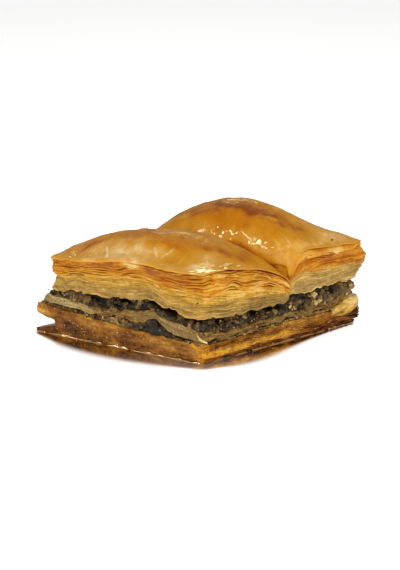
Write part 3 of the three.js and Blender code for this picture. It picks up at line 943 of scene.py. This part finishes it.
def syrup_rim(widest=1.3, starts=12, turns=45):
    """The line of syrup where the base meets the surface.

    Its side is an arc of radius widest at most, from the angle starts up to turns, in degrees. Past that
    it runs back under the base.
    """
    piece = Piece("syrup_rim")
    rim = Rim(base_block(), 0.6)
    x, y = rim.block.at(rim.u, rim.v, *base_shifts(rim.u, rim.v, 0.04))
    foot = 0.25 + waver(x, y, 1, (0.05, 4, 0), (0.05, 1.3, 2))
    curve = widest * clamp(0.5 + waver(x, y, 4, (0.9, 2.2, 4), (0.4, 0.9, 0)))
    levels = []
    for degrees in [-90, 12, 20, 24, 28, 32, 36, 40, 60, 90]:
        angle = math.radians(degrees)
        out = foot + curve * (math.cos(angle) - 1) * (angle > 0)
        z = curve * max(0, math.sin(angle) - math.sin(math.radians(starts)))
        if degrees > turns:
            out, z = out + 0.5 - 0.01 * degrees, curve * 0.44
        levels.append(np.stack([*rim.out(x, y, out), z], -1))
    rings(piece, np.array(levels), tone=0.45, leaf=0, wet=1)
    return piece


def ball_points(mesh, subdivisions):
    ball = bmesh.new()
    bmesh.ops.create_icosphere(ball, subdivisions=subdivisions, radius=1)
    ball.to_mesh(mesh)
    ball.free()
    points = np.zeros(len(mesh.vertices) * 3)
    mesh.vertices.foreach_get("co", points)
    return points.reshape(-1, 3)


def lumps(piece, random, centres, radii, tones, wet, fine, cuts=0):
    """Rough broken pieces, all at once: fine ones have 80 faces and the others 20."""
    mesh = bpy.data.meshes.new("ball")
    ball = ball_points(mesh, 2 if fine else 1)
    faces = np.array([p.vertices[:] for p in mesh.polygons])
    count, corners = len(centres), len(ball)
    shape = ball[None] * random.uniform(0.8, 1.15, (count, corners, 1))
    for _ in range(cuts):
        facing = random.normal(size=(count, 1, 3))
        facing /= np.linalg.norm(facing, axis=-1, keepdims=True)
        over = (shape * facing).sum(-1, keepdims=True) - random.uniform(0.3, 0.8, (count, 1, 1))
        shape = shape - facing * np.maximum(over, 0)
    shape = shape * random.uniform(0.7, 1.3, (count, 1, 3))
    turn = np.linalg.qr(random.normal(size=(count, 3, 3)))[0]
    turn *= np.sign(np.linalg.det(turn))[:, None, None]
    points = np.einsum("nij,nkj->nki", turn, shape) * radii[:, None, None] + centres[:, None]
    points[..., 2] = np.maximum(points[..., 2], 0.02)
    all_faces = (faces[None] + np.arange(count)[:, None, None] * corners).reshape(-1, 3)
    tone = tones[:, None] + random.uniform(-0.06, 0.06, (count, corners))
    leaf = np.repeat(random.uniform(0, 50, (count, 1)), corners, 1)
    wet = np.repeat(np.broadcast_to(wet, count)[:, None], corners, 1)
    piece.add(points, all_faces, tone=clamp(tone), leaf=leaf, wet=wet)
    bpy.data.meshes.remove(mesh)


# How many grains of each size: count, smallest and largest radius, and whether they have many faces.
UPPER_GRAINS = [
    (40, 1.2, 1.7, True), (190, 0.8, 1.3, True), (620, 0.35, 0.8, True), (1100, 0.13, 0.36, False),
]
LOWER_GRAINS = [(110, 0.6, 1.1, True), (420, 0.3, 0.7, True), (800, 0.12, 0.34, False)]
# How much darker or lighter than usual single bits of nut are.
NUT_TONES = [-0.3, -0.25, -0.15, -0.1, 0, 0, 0.1, 0.3]


def nut_layer(name, floor, roof, short, corner, counts, voids, brown, seed):
    """Ground nuts: a rough dark paste with broken pieces standing out of it.

    short is how far the layer stops short of the left end at its floor and roof, and corner how far it
    stands out at the right corner. counts holds a row for each size of grain. With voids, the nuts fall
    back deeper under the pastry above, and brown is how much lighter some places are.
    """
    rim = Rim(Block(0, 1, above(floor), roof))
    block = rim.block

    def place(u, v, share, out, where=slice(None)):
        x, y = block.at(u, v, short_end(mix(*short, share), v) * u**3, corner * bump(u, 0, 0.12) * v**3)
        return rim.out(x, y, out, where)

    def hollow(u, v, x, y, share):
        """How far the nuts fall back under the pastry above, leaving dark gaps."""
        usual = 0.25 + 0.7 * bump(u, 0, 0.1) * grow(v, 0.5, 0.4)
        if voids:
            usual = usual + 0.2 + 2.0 * bump(u, 0.38, 0.2) * bump(v, 0, 0.1)
        return usual * grow(share, 0.5, 0.75) * ease(0.5 + waver(x, y, seed, (1.8, 3, 4)))

    def lit_by(u, v):
        """How much lighter the nuts are at this place than usual."""
        lit = 0.15 * grow(v, 0.5, 0.7) + 0.14 * grow(v, 0.86, 0.96) + 0.12 * grow(u, 0.65, 0.8)
        shade = 0.16 * bump(u, 0.38, 0.2) if voids else 0.14 * bump(u, 0.27, 0.09)
        return lit + brown * (bump(u, 0.52, 0.14) + bump(u, 0, 0.08)) - shade * bump(v, 0, 0.1)

    paste = Piece(name + "_paste")
    levels, tones = [], []
    for share in np.linspace(0, 1, 15):
        rough = waver(rim.x, rim.y, seed, (0.5, 1.6, 3 * share), (0.4, 0.8, 7 * share))
        void = hollow(rim.u, rim.v, rim.x, rim.y, share)
        x, y = place(rim.u, rim.v, share, rough - 0.45 - 2 * void)
        z = block.height(x, y, share)
        levels.append(np.stack([x, y, z], -1))
        # Painted shade: where the paste falls back into a void it is made near black.
        tones.append(0.34 + lit_by(rim.u, rim.v) + waver(x, y, z / 2 + seed, (0.25, 2.5, 0)) - 0.8 * void)
    rings(paste, np.array(levels), tone=clamp(np.array(tones)), leaf=0, wet=0.5)

    grains = Piece(name + "_grains")
    random = np.random.default_rng(seed)
    for count, smallest, largest, fine in counts:
        where = random.integers(0, rim.count, count)
        share = random.uniform(0.02, 0.98, count)
        radius = smallest * (largest / smallest) ** random.uniform(0, 1, count) ** 1.3
        out = random.uniform(-0.6, 0.1, count) - 0.25 * (radius < 0.4) - 0.25 * radius
        u, v = rim.u[where], rim.v[where]
        x, y = place(u, v, share, out, where)
        low, high = block.height(x, y, 0), block.height(x, y, 1)
        z = mix(low + 0.35 * radius, high - 0.35 * radius, share)
        radius = np.minimum(radius, 0.5 * (high - low))
        tone = 0.4 + lit_by(u, v) + 0.12 * (radius > 0.8) + waver(x, y, z / 2 + seed, (0.3, 3, 0))
        tone = tone + random.choice(NUT_TONES, count) + random.uniform(-0.1, 0.1, count)
        wet = clamp(0.5 + 0.5 * noise(x, y, z))
        keep = hollow(u, v, x, y, share) < 0.4
        centres = np.stack([x, y, z], -1)[keep]
        lumps(grains, random, centres, radius[keep], tone[keep], wet[keep], fine, 7 if fine else 3)
    return paste, grains


def scattered(random, rim, count, lowest, likely, smallest, ratio):
    """Random places round a rim, kept as often as likely says: where, how high up, and how large."""
    where = random.integers(0, rim.count, count)
    share = random.uniform(lowest, 1, count)
    keep = random.uniform(0, 1, count) < likely(rim.u[where], rim.v[where], share)
    where, share = where[keep], share[keep]
    radius = smallest * ratio ** random.uniform(0, 1, len(where)) ** 1.5
    return where, share, radius


def crumbs():
    """Nut crumbs and dark specks scattered over the cut faces."""
    piece = Piece("crumbs")
    random = np.random.default_rng(29)
    rim = Rim(Block(0, 1, base_top, upper_nut_top))

    def place(u, v, share):
        return rim.block.at(u, v, -2.5 * u**3, -1.8 * share * bump(u, 0, 0.12) * v**3)

    def likely(u, v, share):
        x, y = place(u, v, share)
        right = grow(v, 0.55, 0.4) + grow(v, 0.4, 0.55) * grow(share, 0.55, 0.45)
        chance = 0.1 + 0.7 * bump(u, 0.5, 0.15) * bump(v, 0, 0.05) + 0.9 * bump(u, 0, 0.05) * right
        chance = chance * (1 - bump(u, 0, 0.15) * grow(v, 0.75, 0.85))
        return chance * ease(0.6 + waver(x, y, 5 * share, (1.2, 2.4, 0)))

    where, share, radius = scattered(random, rim, 2600, 0, likely, 0.12, 3.2)
    x, y = rim.out(*place(rim.u[where], rim.v[where], share), 0.08, where)
    centres = np.stack([x, y, rim.block.height(x, y, share)], -1)
    tone = random.choice([0.15, 0.4, 0.6, 0.85], len(where))
    lumps(piece, random, centres, radius, tone, 0.5, False, 3)
    specks = [(*plan(0.305, -0.006), 19.5, 0.15), (*plan(0.025, -0.006), 19.2, 0.3)]
    for s, tau, size in ((0.032, 0.665, 0.45), (0.343, 0.1, 0.22)):
        t = mix(SCORE_AT, 1, tau)
        specks.append((*plan(s, t), back_dome(s, t) + 0.4, size))
    specks = np.array(specks, float)
    lumps(piece, random, specks[:, :3], specks[:, 3], np.zeros(len(specks)), 0.6, True, 3)
    return piece


def shred(piece, path, width, across, outward, tone):
    """A flat shred along a path of points, as wide as width along the direction across."""
    at = np.linspace(0, len(path) - 1, 17)
    middle = np.stack([np.interp(at, np.arange(len(path)), path[:, k]) for k in range(3)], -1)
    for _ in range(2):
        middle[1:-1] = (middle[:-2] + 2 * middle[1:-1] + middle[2:]) / 4
    levels = []
    for angle in np.linspace(0, 2 * math.pi, 9)[:-1]:
        side = np.outer(width * math.cos(angle), across)
        levels.append(middle + (side + np.outer(0.4 * width * math.sin(angle), outward)))
    rings(piece, np.array(levels).transpose(1, 0, 2), tone=tone, leaf=0, wet=0.5)


def strand():
    """A loose shred of pale pastry hanging over the near corner."""
    piece = Piece("strand")
    route = [
        (0.03, -0.006, 9.6), (0.018, -0.012, 8.9), (0.006, -0.014, 8.2),
        (-0.006, -0.006, 7.5), (-0.012, 0.012, 6.9),
    ]  # s, t and height
    path = np.array([(*plan(s, t), z) for s, t, z in route])
    width = 0.3 * np.sin(np.linspace(0.15, 2.3, 17)) + 0.16
    shred(piece, path, width, np.array([0.55, -0.1, 0.83]), np.array([0.2, -0.95, 0.1]), 0.85)
    return piece


# Scraps of leaf standing on the front skin: s, share of the lobe, turn, length, width, rise and tone.
SCRAPS = [
    (0.600, 0.49, 10, 2.4, 0.5, 0.5, 0.75),
    (0.575, 0.50, 160, 1.3, 0.4, 0.7, 0.90),
    (0.020, 0.30, 50, 2.2, 0.5, 0.3, 0.10),
    (0.012, 0.42, 75, 1.8, 0.4, 0.3, 0.20),
    (0.030, 0.36, 20, 1.6, 0.4, 0.2, 0.15),
    (0.010, 0.22, 65, 1.8, 0.4, 0.2, 0.30),
]


def scraps():
    """Little flakes that have come loose from the skin."""
    piece = Piece("scraps")
    for s, tau, turn, length, width, rise, tone in SCRAPS:
        t = tau * SCORE_AT
        x, y = plan(s, t)
        z = front_dome(np.array(s), np.array(t)) + 0.3
        turn = math.radians(turn)
        steps = np.linspace(-0.5, 0.5, 5)
        flat = np.stack([x + length * steps * math.cos(turn), y + length * steps * math.sin(turn)], -1)
        path = np.column_stack([flat, z + rise * (0.2 + steps) + 0.3 * steps**2])
        widths = width * np.sin(np.linspace(0.3, 2.9, 17))
        across = np.array([-math.sin(turn), math.cos(turn), 0.4])
        shred(piece, path, widths, across, np.array([0.2, -0.2, 0.8]), tone)
    return piece


def syrup_beads_and_glints():
    """Bubbles and drops of syrup on the soaked base, thickest on a patch of the front. Their pale tones
    also stand in for glints: painted highlights.
    """
    piece = Piece("syrup_beads_and_glints")
    random = np.random.default_rng(12)
    rim = Rim(base_block())

    def likely(u, v, share):
        front = 0.5 * bump(u, 0.72, 0.15) * bump(share, 0.38, 0.22)
        front = front + 0.3 * bump(u, 0.4, 0.2) * bump(share, 0.85, 0.15)
        return 0.01 + front * bump(v, 0, 0.05) + 0.05 * bump(u, 0, 0.05)

    where, share, radius = scattered(random, rim, 7000, 0.02, likely, 0.09, 2.8)
    u, v = rim.u[where], rim.v[where]
    x, y = rim.out(*rim.block.at(u, v, *base_shifts(u, v, share)), 0.1, where)
    centres = np.stack([x, y, np.maximum(rim.block.height(x, y, share), 0.6 * radius)], -1)
    # Pale tones, as painted glints of the wet surface.
    lumps(piece, random, centres, radius, random.uniform(0.2, 0.9, len(where)), 0.3, True)
    return piece


def srgb(red, green, blue):
    """A colour as it is seen, from 0 to 255, in the linear numbers that shaders use."""
    parts = [c / 255 for c in (red, green, blue)]
    return tuple(c / 12.92 if c <= 0.04045 else ((c + 0.055) / 1.055) ** 2.4 for c in parts) + (1,)


def add_node(tree, kind, inputs=None, **settings):
    node = tree.nodes.new("ShaderNode" + kind)
    for key, value in settings.items():
        setattr(node, key, value)
    for key, value in (inputs or {}).items():
        if isinstance(value, bpy.types.NodeSocket):
            tree.links.new(value, node.inputs[key])
        else:
            node.inputs[key].default_value = value
    return node


def set_inputs(shader, **values):
    """Sets sockets that are the same all over, by their names with _ for a space."""
    for name, value in values.items():
        shader.inputs[name.replace("_", " ")].default_value = value


def value_at(tree, name):
    return add_node(tree, "Attribute", attribute_name=name).outputs["Fac"]


def math_node(tree, operation, a, b, clamp_it=False):
    return add_node(tree, "Math", {0: a, 1: b}, operation=operation, use_clamp=clamp_it).outputs[0]


def map_range(tree, inputs, **settings):
    return add_node(tree, "MapRange", inputs, **settings).outputs[0]


def new_material(name):
    material = bpy.data.materials.new(name)
    material.use_nodes = True
    return material, material.node_tree, material.node_tree.nodes["Principled BSDF"]


def ramp(tree, factor, stops):
    node = add_node(tree, "ValToRGB", {"Fac": factor})
    elements = node.color_ramp.elements
    while len(elements) < len(stops):
        elements.new(0.5)
    for element, (position, colour) in zip(elements, stops):
        element.position = position
        element.color = srgb(*colour)
    return node.outputs["Color"]


def streaks(tree, leaf_scale, scale, detail=3):
    """Noise that follows the leaves: it changes slowly along one and quickly from one to the next."""
    place = add_node(tree, "TexCoord").outputs["Object"]
    parts = add_node(tree, "SeparateXYZ", {0: place})
    lifted = math_node(tree, "MULTIPLY", value_at(tree, "leaf"), leaf_scale)
    joined = add_node(tree, "CombineXYZ", {"X": parts.outputs["X"], "Y": parts.outputs["Y"], "Z": lifted})
    inputs = {"Vector": joined.outputs[0], "Scale": scale, "Detail": detail, "Roughness": 0.6}
    return add_node(tree, "TexNoise", inputs).outputs["Fac"]


def grain(tree, scale, detail=4, roughness=0.6):
    place = add_node(tree, "TexCoord").outputs["Object"]
    inputs = {"Vector": place, "Scale": scale, "Detail": detail, "Roughness": roughness}
    return add_node(tree, "TexNoise", inputs).outputs["Fac"]


# Colours along the tone value of each material, from its lowest to its highest.
COLOURS = {
    # The palest stops of golden_skin are reached where creases are painted lighter, as highlights.
    "golden_skin": [
        (0.0, (238, 201, 136)), (0.12, (225, 171, 86)), (0.25, (213, 151, 52)),
        (0.5, (200, 132, 16)), (0.75, (180, 106, 16)), (1.0, (142, 72, 12)),
    ],
    "golden_leaves": [
        (0.0, (230, 192, 116)), (0.35, (222, 164, 56)), (0.6, (205, 134, 24)),
        (0.8, (184, 108, 12)), (1.0, (158, 84, 6)),
    ],
    "pale_leaves": [
        (0.0, (106, 80, 40)), (0.3, (146, 117, 64)), (0.55, (179, 146, 82)),
        (0.8, (208, 172, 98)), (1.0, (236, 208, 142)),
    ],
    "middle_leaves": [
        (0.0, (74, 52, 26)), (0.25, (134, 100, 52)), (0.5, (142, 115, 66)),
        (0.75, (176, 148, 90)), (1.0, (206, 184, 128)),
    ],
    "soaked_leaves": [
        (0.0, (52, 26, 4)), (0.25, (112, 62, 8)), (0.5, (150, 96, 24)),
        (0.7, (176, 126, 52)), (0.85, (204, 146, 36)), (1.0, (226, 176, 74)),
    ],
    "ground_nuts": [
        (0.0, (12, 9, 6)), (0.3, (44, 32, 17)), (0.55, (98, 74, 40)),
        (0.8, (148, 116, 64)), (1.0, (200, 170, 112)),
    ],
    # The palest syrup stop gives the beads their painted glints.
    "syrup": [(0.0, (110, 60, 12)), (0.4, (156, 96, 24)), (1.0, (226, 176, 122))],
}
SYRUP_STAIN = (1.0, 0.84, 0.36, 1)
SCATTERED = (1.0, 0.55, 0.3)  # how far red, green and blue light go in, against each other


def centred(tree, source, amount):
    return math_node(tree, "MULTIPLY", math_node(tree, "SUBTRACT", source, 0.5), amount)


def food(
    name,
    streak=0.2,
    spot=0.15,
    blotch=0.0,
    crumb=0.0,
    rough=(0.6, 0.35),
    bump_mm=0.05,
    bump_scale=900,
    line_relief=1.2,
    scatter=(0.25, 0.35),
    coat=0.2,
    coat_rough=0.15,
    coat_ior=1.5,
    coat_grain=True,
    spec=0.3,
):
    """A pastry, nut or syrup material.

    streak, spot, blotch and crumb are how much long, small, wide and finest noise shifts the tone,
    rough is its roughness dry and wet, bump_mm the height of its grain, and scatter how much light goes
    in and how far.
    """
    material, tree, shader = new_material(name)
    noises = {
        streaks(tree, 0.004, 170): streak,
        grain(tree, 700): spot,
        grain(tree, 160, 6): blotch,
        grain(tree, 2300, 2): crumb,
    }
    tone = value_at(tree, "tone")
    for source, amount in noises.items():
        tone = math_node(tree, "ADD", tone, centred(tree, source, amount))
    colour = ramp(tree, tone, COLOURS[name])
    stain = {"Fac": value_at(tree, "gold"), "Color1": colour, "Color2": SYRUP_STAIN}
    stained = add_node(tree, "MixRGB", stain, blend_type="MULTIPLY").outputs["Color"]
    wet = value_at(tree, "wet")
    dryness = map_range(tree, {"Value": wet, "To Min": rough[0], "To Max": rough[1]})
    dryness = math_node(tree, "ADD", dryness, centred(tree, grain(tree, 420), 0.35), True)
    lines = math_node(tree, "MULTIPLY", streaks(tree, 0.01, 400), line_relief)
    height = math_node(tree, "ADD", grain(tree, bump_scale, 5, 0.65), lines)
    relief = {"Height": height, "Distance": bump_mm * MM, "Strength": 1.0}
    relief = add_node(tree, "Bump", relief).outputs[0]
    glaze = map_range(tree, {"Value": wet, "To Min": 0.08 * coat, "To Max": coat})
    linked = {"Base Color": stained, "Roughness": dryness, "Normal": relief, "Coat Weight": glaze}
    if coat_grain:
        linked["Coat Normal"] = relief
    for socket, source in linked.items():
        tree.links.new(source, shader.inputs[socket])
    set_inputs(shader, Subsurface_Weight=scatter[0], Subsurface_Scale=scatter[1] * MM)
    set_inputs(shader, Subsurface_Radius=SCATTERED, Specular_IOR_Level=spec)
    set_inputs(shader, Coat_Roughness=coat_rough, Coat_IOR=coat_ior)
    return material


def build_slice():
    skin = food(
        "golden_skin", 0.1, 0.25, 0.5, 0.15, (0.62, 0.4), 0.09, 1100, 0.3,
        scatter=(0.08, 0.5), coat=0.6, coat_rough=0.06, coat_grain=False, spec=0.08,
    )
    leaf = food(
        "golden_leaves", 1.0, 0.3, 0.1, 0.3, (0.6, 0.35), 0.06, 1200, 1.2,
        coat=0.4, coat_rough=0.12, spec=0.15,
    )
    pale = food(
        "pale_leaves", 1.0, 0.6, 0.4, 0.7, (0.7, 0.5), 0.16, 1500, 1.0,
        coat=0.1, coat_rough=0.2, spec=0.15,
    )
    middle = food(
        "middle_leaves", 0.5, 0.7, 0.5, 1.1, (0.6, 0.4), 0.2, 1400, 0.8,
        coat=0.25, coat_rough=0.15, spec=0.15,
    )
    base = food(
        "soaked_leaves", 0.5, 0.6, 0.6, 0.6, (0.5, 0.35), 0.25, 1300, 0.3,
        scatter=(0.2, 0.6), coat=0.4, coat_rough=0.1, spec=0.02,
    )
    nuts = food(
        "ground_nuts", 0.0, 0.5, 0.0, 0.5, (0.6, 0.3), 0.16, 1300, 0.0,
        scatter=(0.0, 0.3), coat=0.6, coat_rough=0.1, spec=0.1,
    )
    syrup = food(
        "syrup", 0.1, 0.1, 0.0, 0.0, (0.1, 0.04), 0.005,
        scatter=(0.3, 0.8), coat=1.0, coat_rough=0.03, coat_ior=2.0, coat_grain=False,
    )
    front = Lobe("front", 0, SCORE_AT, front_dome, 0.51, 0.55, True)
    back = Lobe("back", SCORE_AT, 1, back_dome, 0.43, 0.53, False)
    for lobe, node, layers in ((front, "front_top_pastry", 17), (back, "back_top_pastry", 15)):
        lobe_skin(lobe).make(skin, "golden_top", node)
        lobe_leaves(lobe, 11).make(leaf, "golden_top", node)
        lobe_compact(lobe, layers).make(pale, "pale_pastry", node)
    middle_layers().make(middle, "pale_pastry", "middle_pastry")
    base_layers().make(base, "soaked_base", "base_pastry")
    upper = nut_layer(
        "upper_nut", middle_top, upper_nut_top, short=(4.6, 5.6), corner=-2.1,
        counts=UPPER_GRAINS, voids=True, brown=0.0, seed=61,
    )
    lower = nut_layer(
        "lower_nut", base_top, lower_nut_top, short=(0.9, 1.9), corner=-0.8,
        counts=LOWER_GRAINS, voids=False, brown=0.32, seed=83,
    )
    for parts, node in ((upper, "upper_nut_layer"), (lower, "lower_nut_layer")):
        parts[0].make(nuts, "nuts", node)
        parts[1].make(nuts, "nuts", node, smooth=False)
    crumbs().make(nuts, "nuts", smooth=False)
    strand().make(pale, "pale_pastry")
    scraps().make(leaf, "golden_top")
    corner_puff().make(pale, "soaked_base")
    syrup_rim().make(syrup, "soaked_base")
    syrup_beads_and_glints().make(syrup, "soaked_base")


def glossy_share(x, y):
    """How mirror-like the surface is round the slice: fully close to it, and not at all further off."""
    s, t = unplan(x, y)
    near_front = mix(5, 1.2, clamp(s)) + 28 * clamp(s) * (1 - clamp(s))
    near_right = mix(5, 0.6, clamp(t)) + 45 * clamp(t) * (1 - clamp(t)) ** 3.5
    near_others = 1.8
    out_front = np.maximum(-t, 0) * SLANT_LENGTH * math.sin(SLANT_ANGLE) / near_front
    out_right = np.maximum(-s, 0) * SCORE_LENGTH * math.sin(SLANT_ANGLE) / near_right
    out_end = np.maximum(s - 0.98, 0) * SCORE_LENGTH / near_others
    out_rear = np.maximum(t - 0.98, 0) * SLANT_LENGTH / near_others
    out = np.hypot(np.maximum(out_front, out_rear), np.maximum(out_right, out_end))
    return grow(t, 1, 0.94) * grow(s, 1.02, 0.97) * (1 - grow(out, 0.62, 1.12))


def add_floor(size=8000, cells=220, cell=0.8):
    """A white surface, glossy near the slice, as a fine grid inside wide outer quads."""
    edges = (np.arange(cells + 1) - cells / 2) * cell
    edges = np.concatenate([[-size / 2], edges, [size / 2]])
    x, y = np.meshgrid(edges, edges)
    mesh = bpy.data.meshes.new("floor")
    points = np.stack([x, y, 0 * x], -1).reshape(-1, 3) * MM
    mesh.from_pydata(points.tolist(), [], grid_faces(*x.shape).tolist())
    gloss = mesh.attributes.new("gloss", "FLOAT", "POINT")
    gloss.data.foreach_set("value", glossy_share(x, y).ravel().astype(np.float32))
    material, tree, shader = new_material("white_surface")
    set_inputs(shader, Base_Color=FLOOR_COLOUR, Roughness=0.5)
    set_inputs(shader, Emission_Color=WHITE + (1,), Emission_Strength=FLOOR_GLOW)
    mirror = add_node(tree, "BsdfGlossy", {"Color": FLOOR_TINT, "Roughness": 0.12})
    slanting = add_node(tree, "Fresnel", {"IOR": 1.45}).outputs[0]
    slanting = map_range(tree, {"Value": slanting, "From Min": 0.05, "From Max": 0.15})
    share = math_node(tree, "MULTIPLY", value_at(tree, "gloss"), slanting)
    both = add_node(tree, "MixShader", {0: share, 1: shader.outputs[0], 2: mirror.outputs[0]})
    tree.links.new(both.outputs[0], tree.nodes["Material Output"].inputs["Surface"])
    mesh.materials.append(material)
    add_object("floor", mesh)


def towards(azimuth, elevation):
    """Unit vector from the slice towards a place seen at these angles."""
    flat = math.cos(elevation)
    return Vector((math.sin(azimuth) * flat, -math.cos(azimuth) * flat, math.sin(elevation)))


LAMP_COLOUR = (1.0, 1.0, 0.62)


def add_light(name, azimuth, elevation, distance, size, power):
    """size is how wide and how high the lamp is."""
    data = bpy.data.lights.new(name, "AREA")
    data.shape = "ELLIPSE"
    data.size, data.size_y = size
    data.energy = power
    data.color = LAMP_COLOUR
    light = add_object(name, data)
    direction = towards(math.radians(azimuth), math.radians(elevation))
    light.location = direction * distance
    light.rotation_euler = direction.to_track_quat("Z", "Y").to_euler()
    return light


def add_lighting():
    """A white room, brighter overhead, with small lamps for the highlights and a soft one in front."""
    world = bpy.data.worlds.new("studio")
    world.use_nodes = True
    tree = world.node_tree
    place = add_node(tree, "TexCoord").outputs["Generated"]
    height = add_node(tree, "SeparateXYZ", {0: place}).outputs["Z"]
    glow = {"Value": height, "To Min": ROOM_LIGHT[0], "To Max": ROOM_LIGHT[1]}
    around = map_range(tree, glow, interpolation_type="SMOOTHSTEP")
    ray = add_node(tree, "LightPath").outputs
    off_band = math_node(tree, "ABSOLUTE", math_node(tree, "SUBTRACT", height, BAND["height"]), 0.0)
    reach = {"Value": off_band, "From Min": BAND["half"], "From Max": BAND["end"]}
    dimmed = map_range(tree, reach | {"To Min": 1 - BAND["brightness"], "To Max": 1 - MIRRORED_ROOM})
    duller = math_node(tree, "MULTIPLY", ray["Is Glossy Ray"], dimmed)
    around = math_node(tree, "MULTIPLY", around, math_node(tree, "SUBTRACT", 1.0, duller))
    strength = math_node(tree, "MAXIMUM", around, ray["Is Camera Ray"])
    background = tree.nodes["Background"]
    set_inputs(background, Color=WHITE + (1,))
    tree.links.new(strength, background.inputs["Strength"])
    bpy.context.scene.world = world
    front = add_light("front", 34, 30, 1.4, (1.0, 1.0), 12.5)
    front.visible_glossy = False
    front.data.color = WHITE
    lamps = [
        add_light("behind", -150, 32, 1.1, (0.34, 0.16), 5.0),
        add_light("before", -17, 35, 1.1, (0.24, 0.1), 3.0),
        add_light("beside", -35, 33, 1.1, (0.14, 0.08), 1.4),
        add_light("left", -112, 42, 1.1, (0.35, 0.35), 0.6),
    ]
    for lamp in lamps:
        lamp.visible_diffuse = False
    bpy.context.scene.view_settings.view_transform = "Standard"


def add_camera():
    data = bpy.data.cameras.new("camera")
    data.lens = CAMERA_LENS
    data.clip_start = 0.01
    camera = add_object("camera", data)
    direction = towards(CAMERA_AZIMUTH, CAMERA_ELEVATION)
    camera.location = (Vector(CAMERA_TARGET) + direction * CAMERA_DISTANCE) * MM
    camera.rotation_euler = direction.to_track_quat("Z", "Y").to_euler()
    bpy.context.scene.camera = camera


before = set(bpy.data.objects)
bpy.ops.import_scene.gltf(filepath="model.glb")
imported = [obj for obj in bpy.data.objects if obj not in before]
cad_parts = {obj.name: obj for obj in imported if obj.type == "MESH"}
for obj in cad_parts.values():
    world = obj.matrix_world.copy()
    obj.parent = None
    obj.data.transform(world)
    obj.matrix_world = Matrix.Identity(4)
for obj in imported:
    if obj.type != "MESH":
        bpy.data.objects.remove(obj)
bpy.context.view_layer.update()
add_camera()
add_floor()
add_lighting()
build_slice()
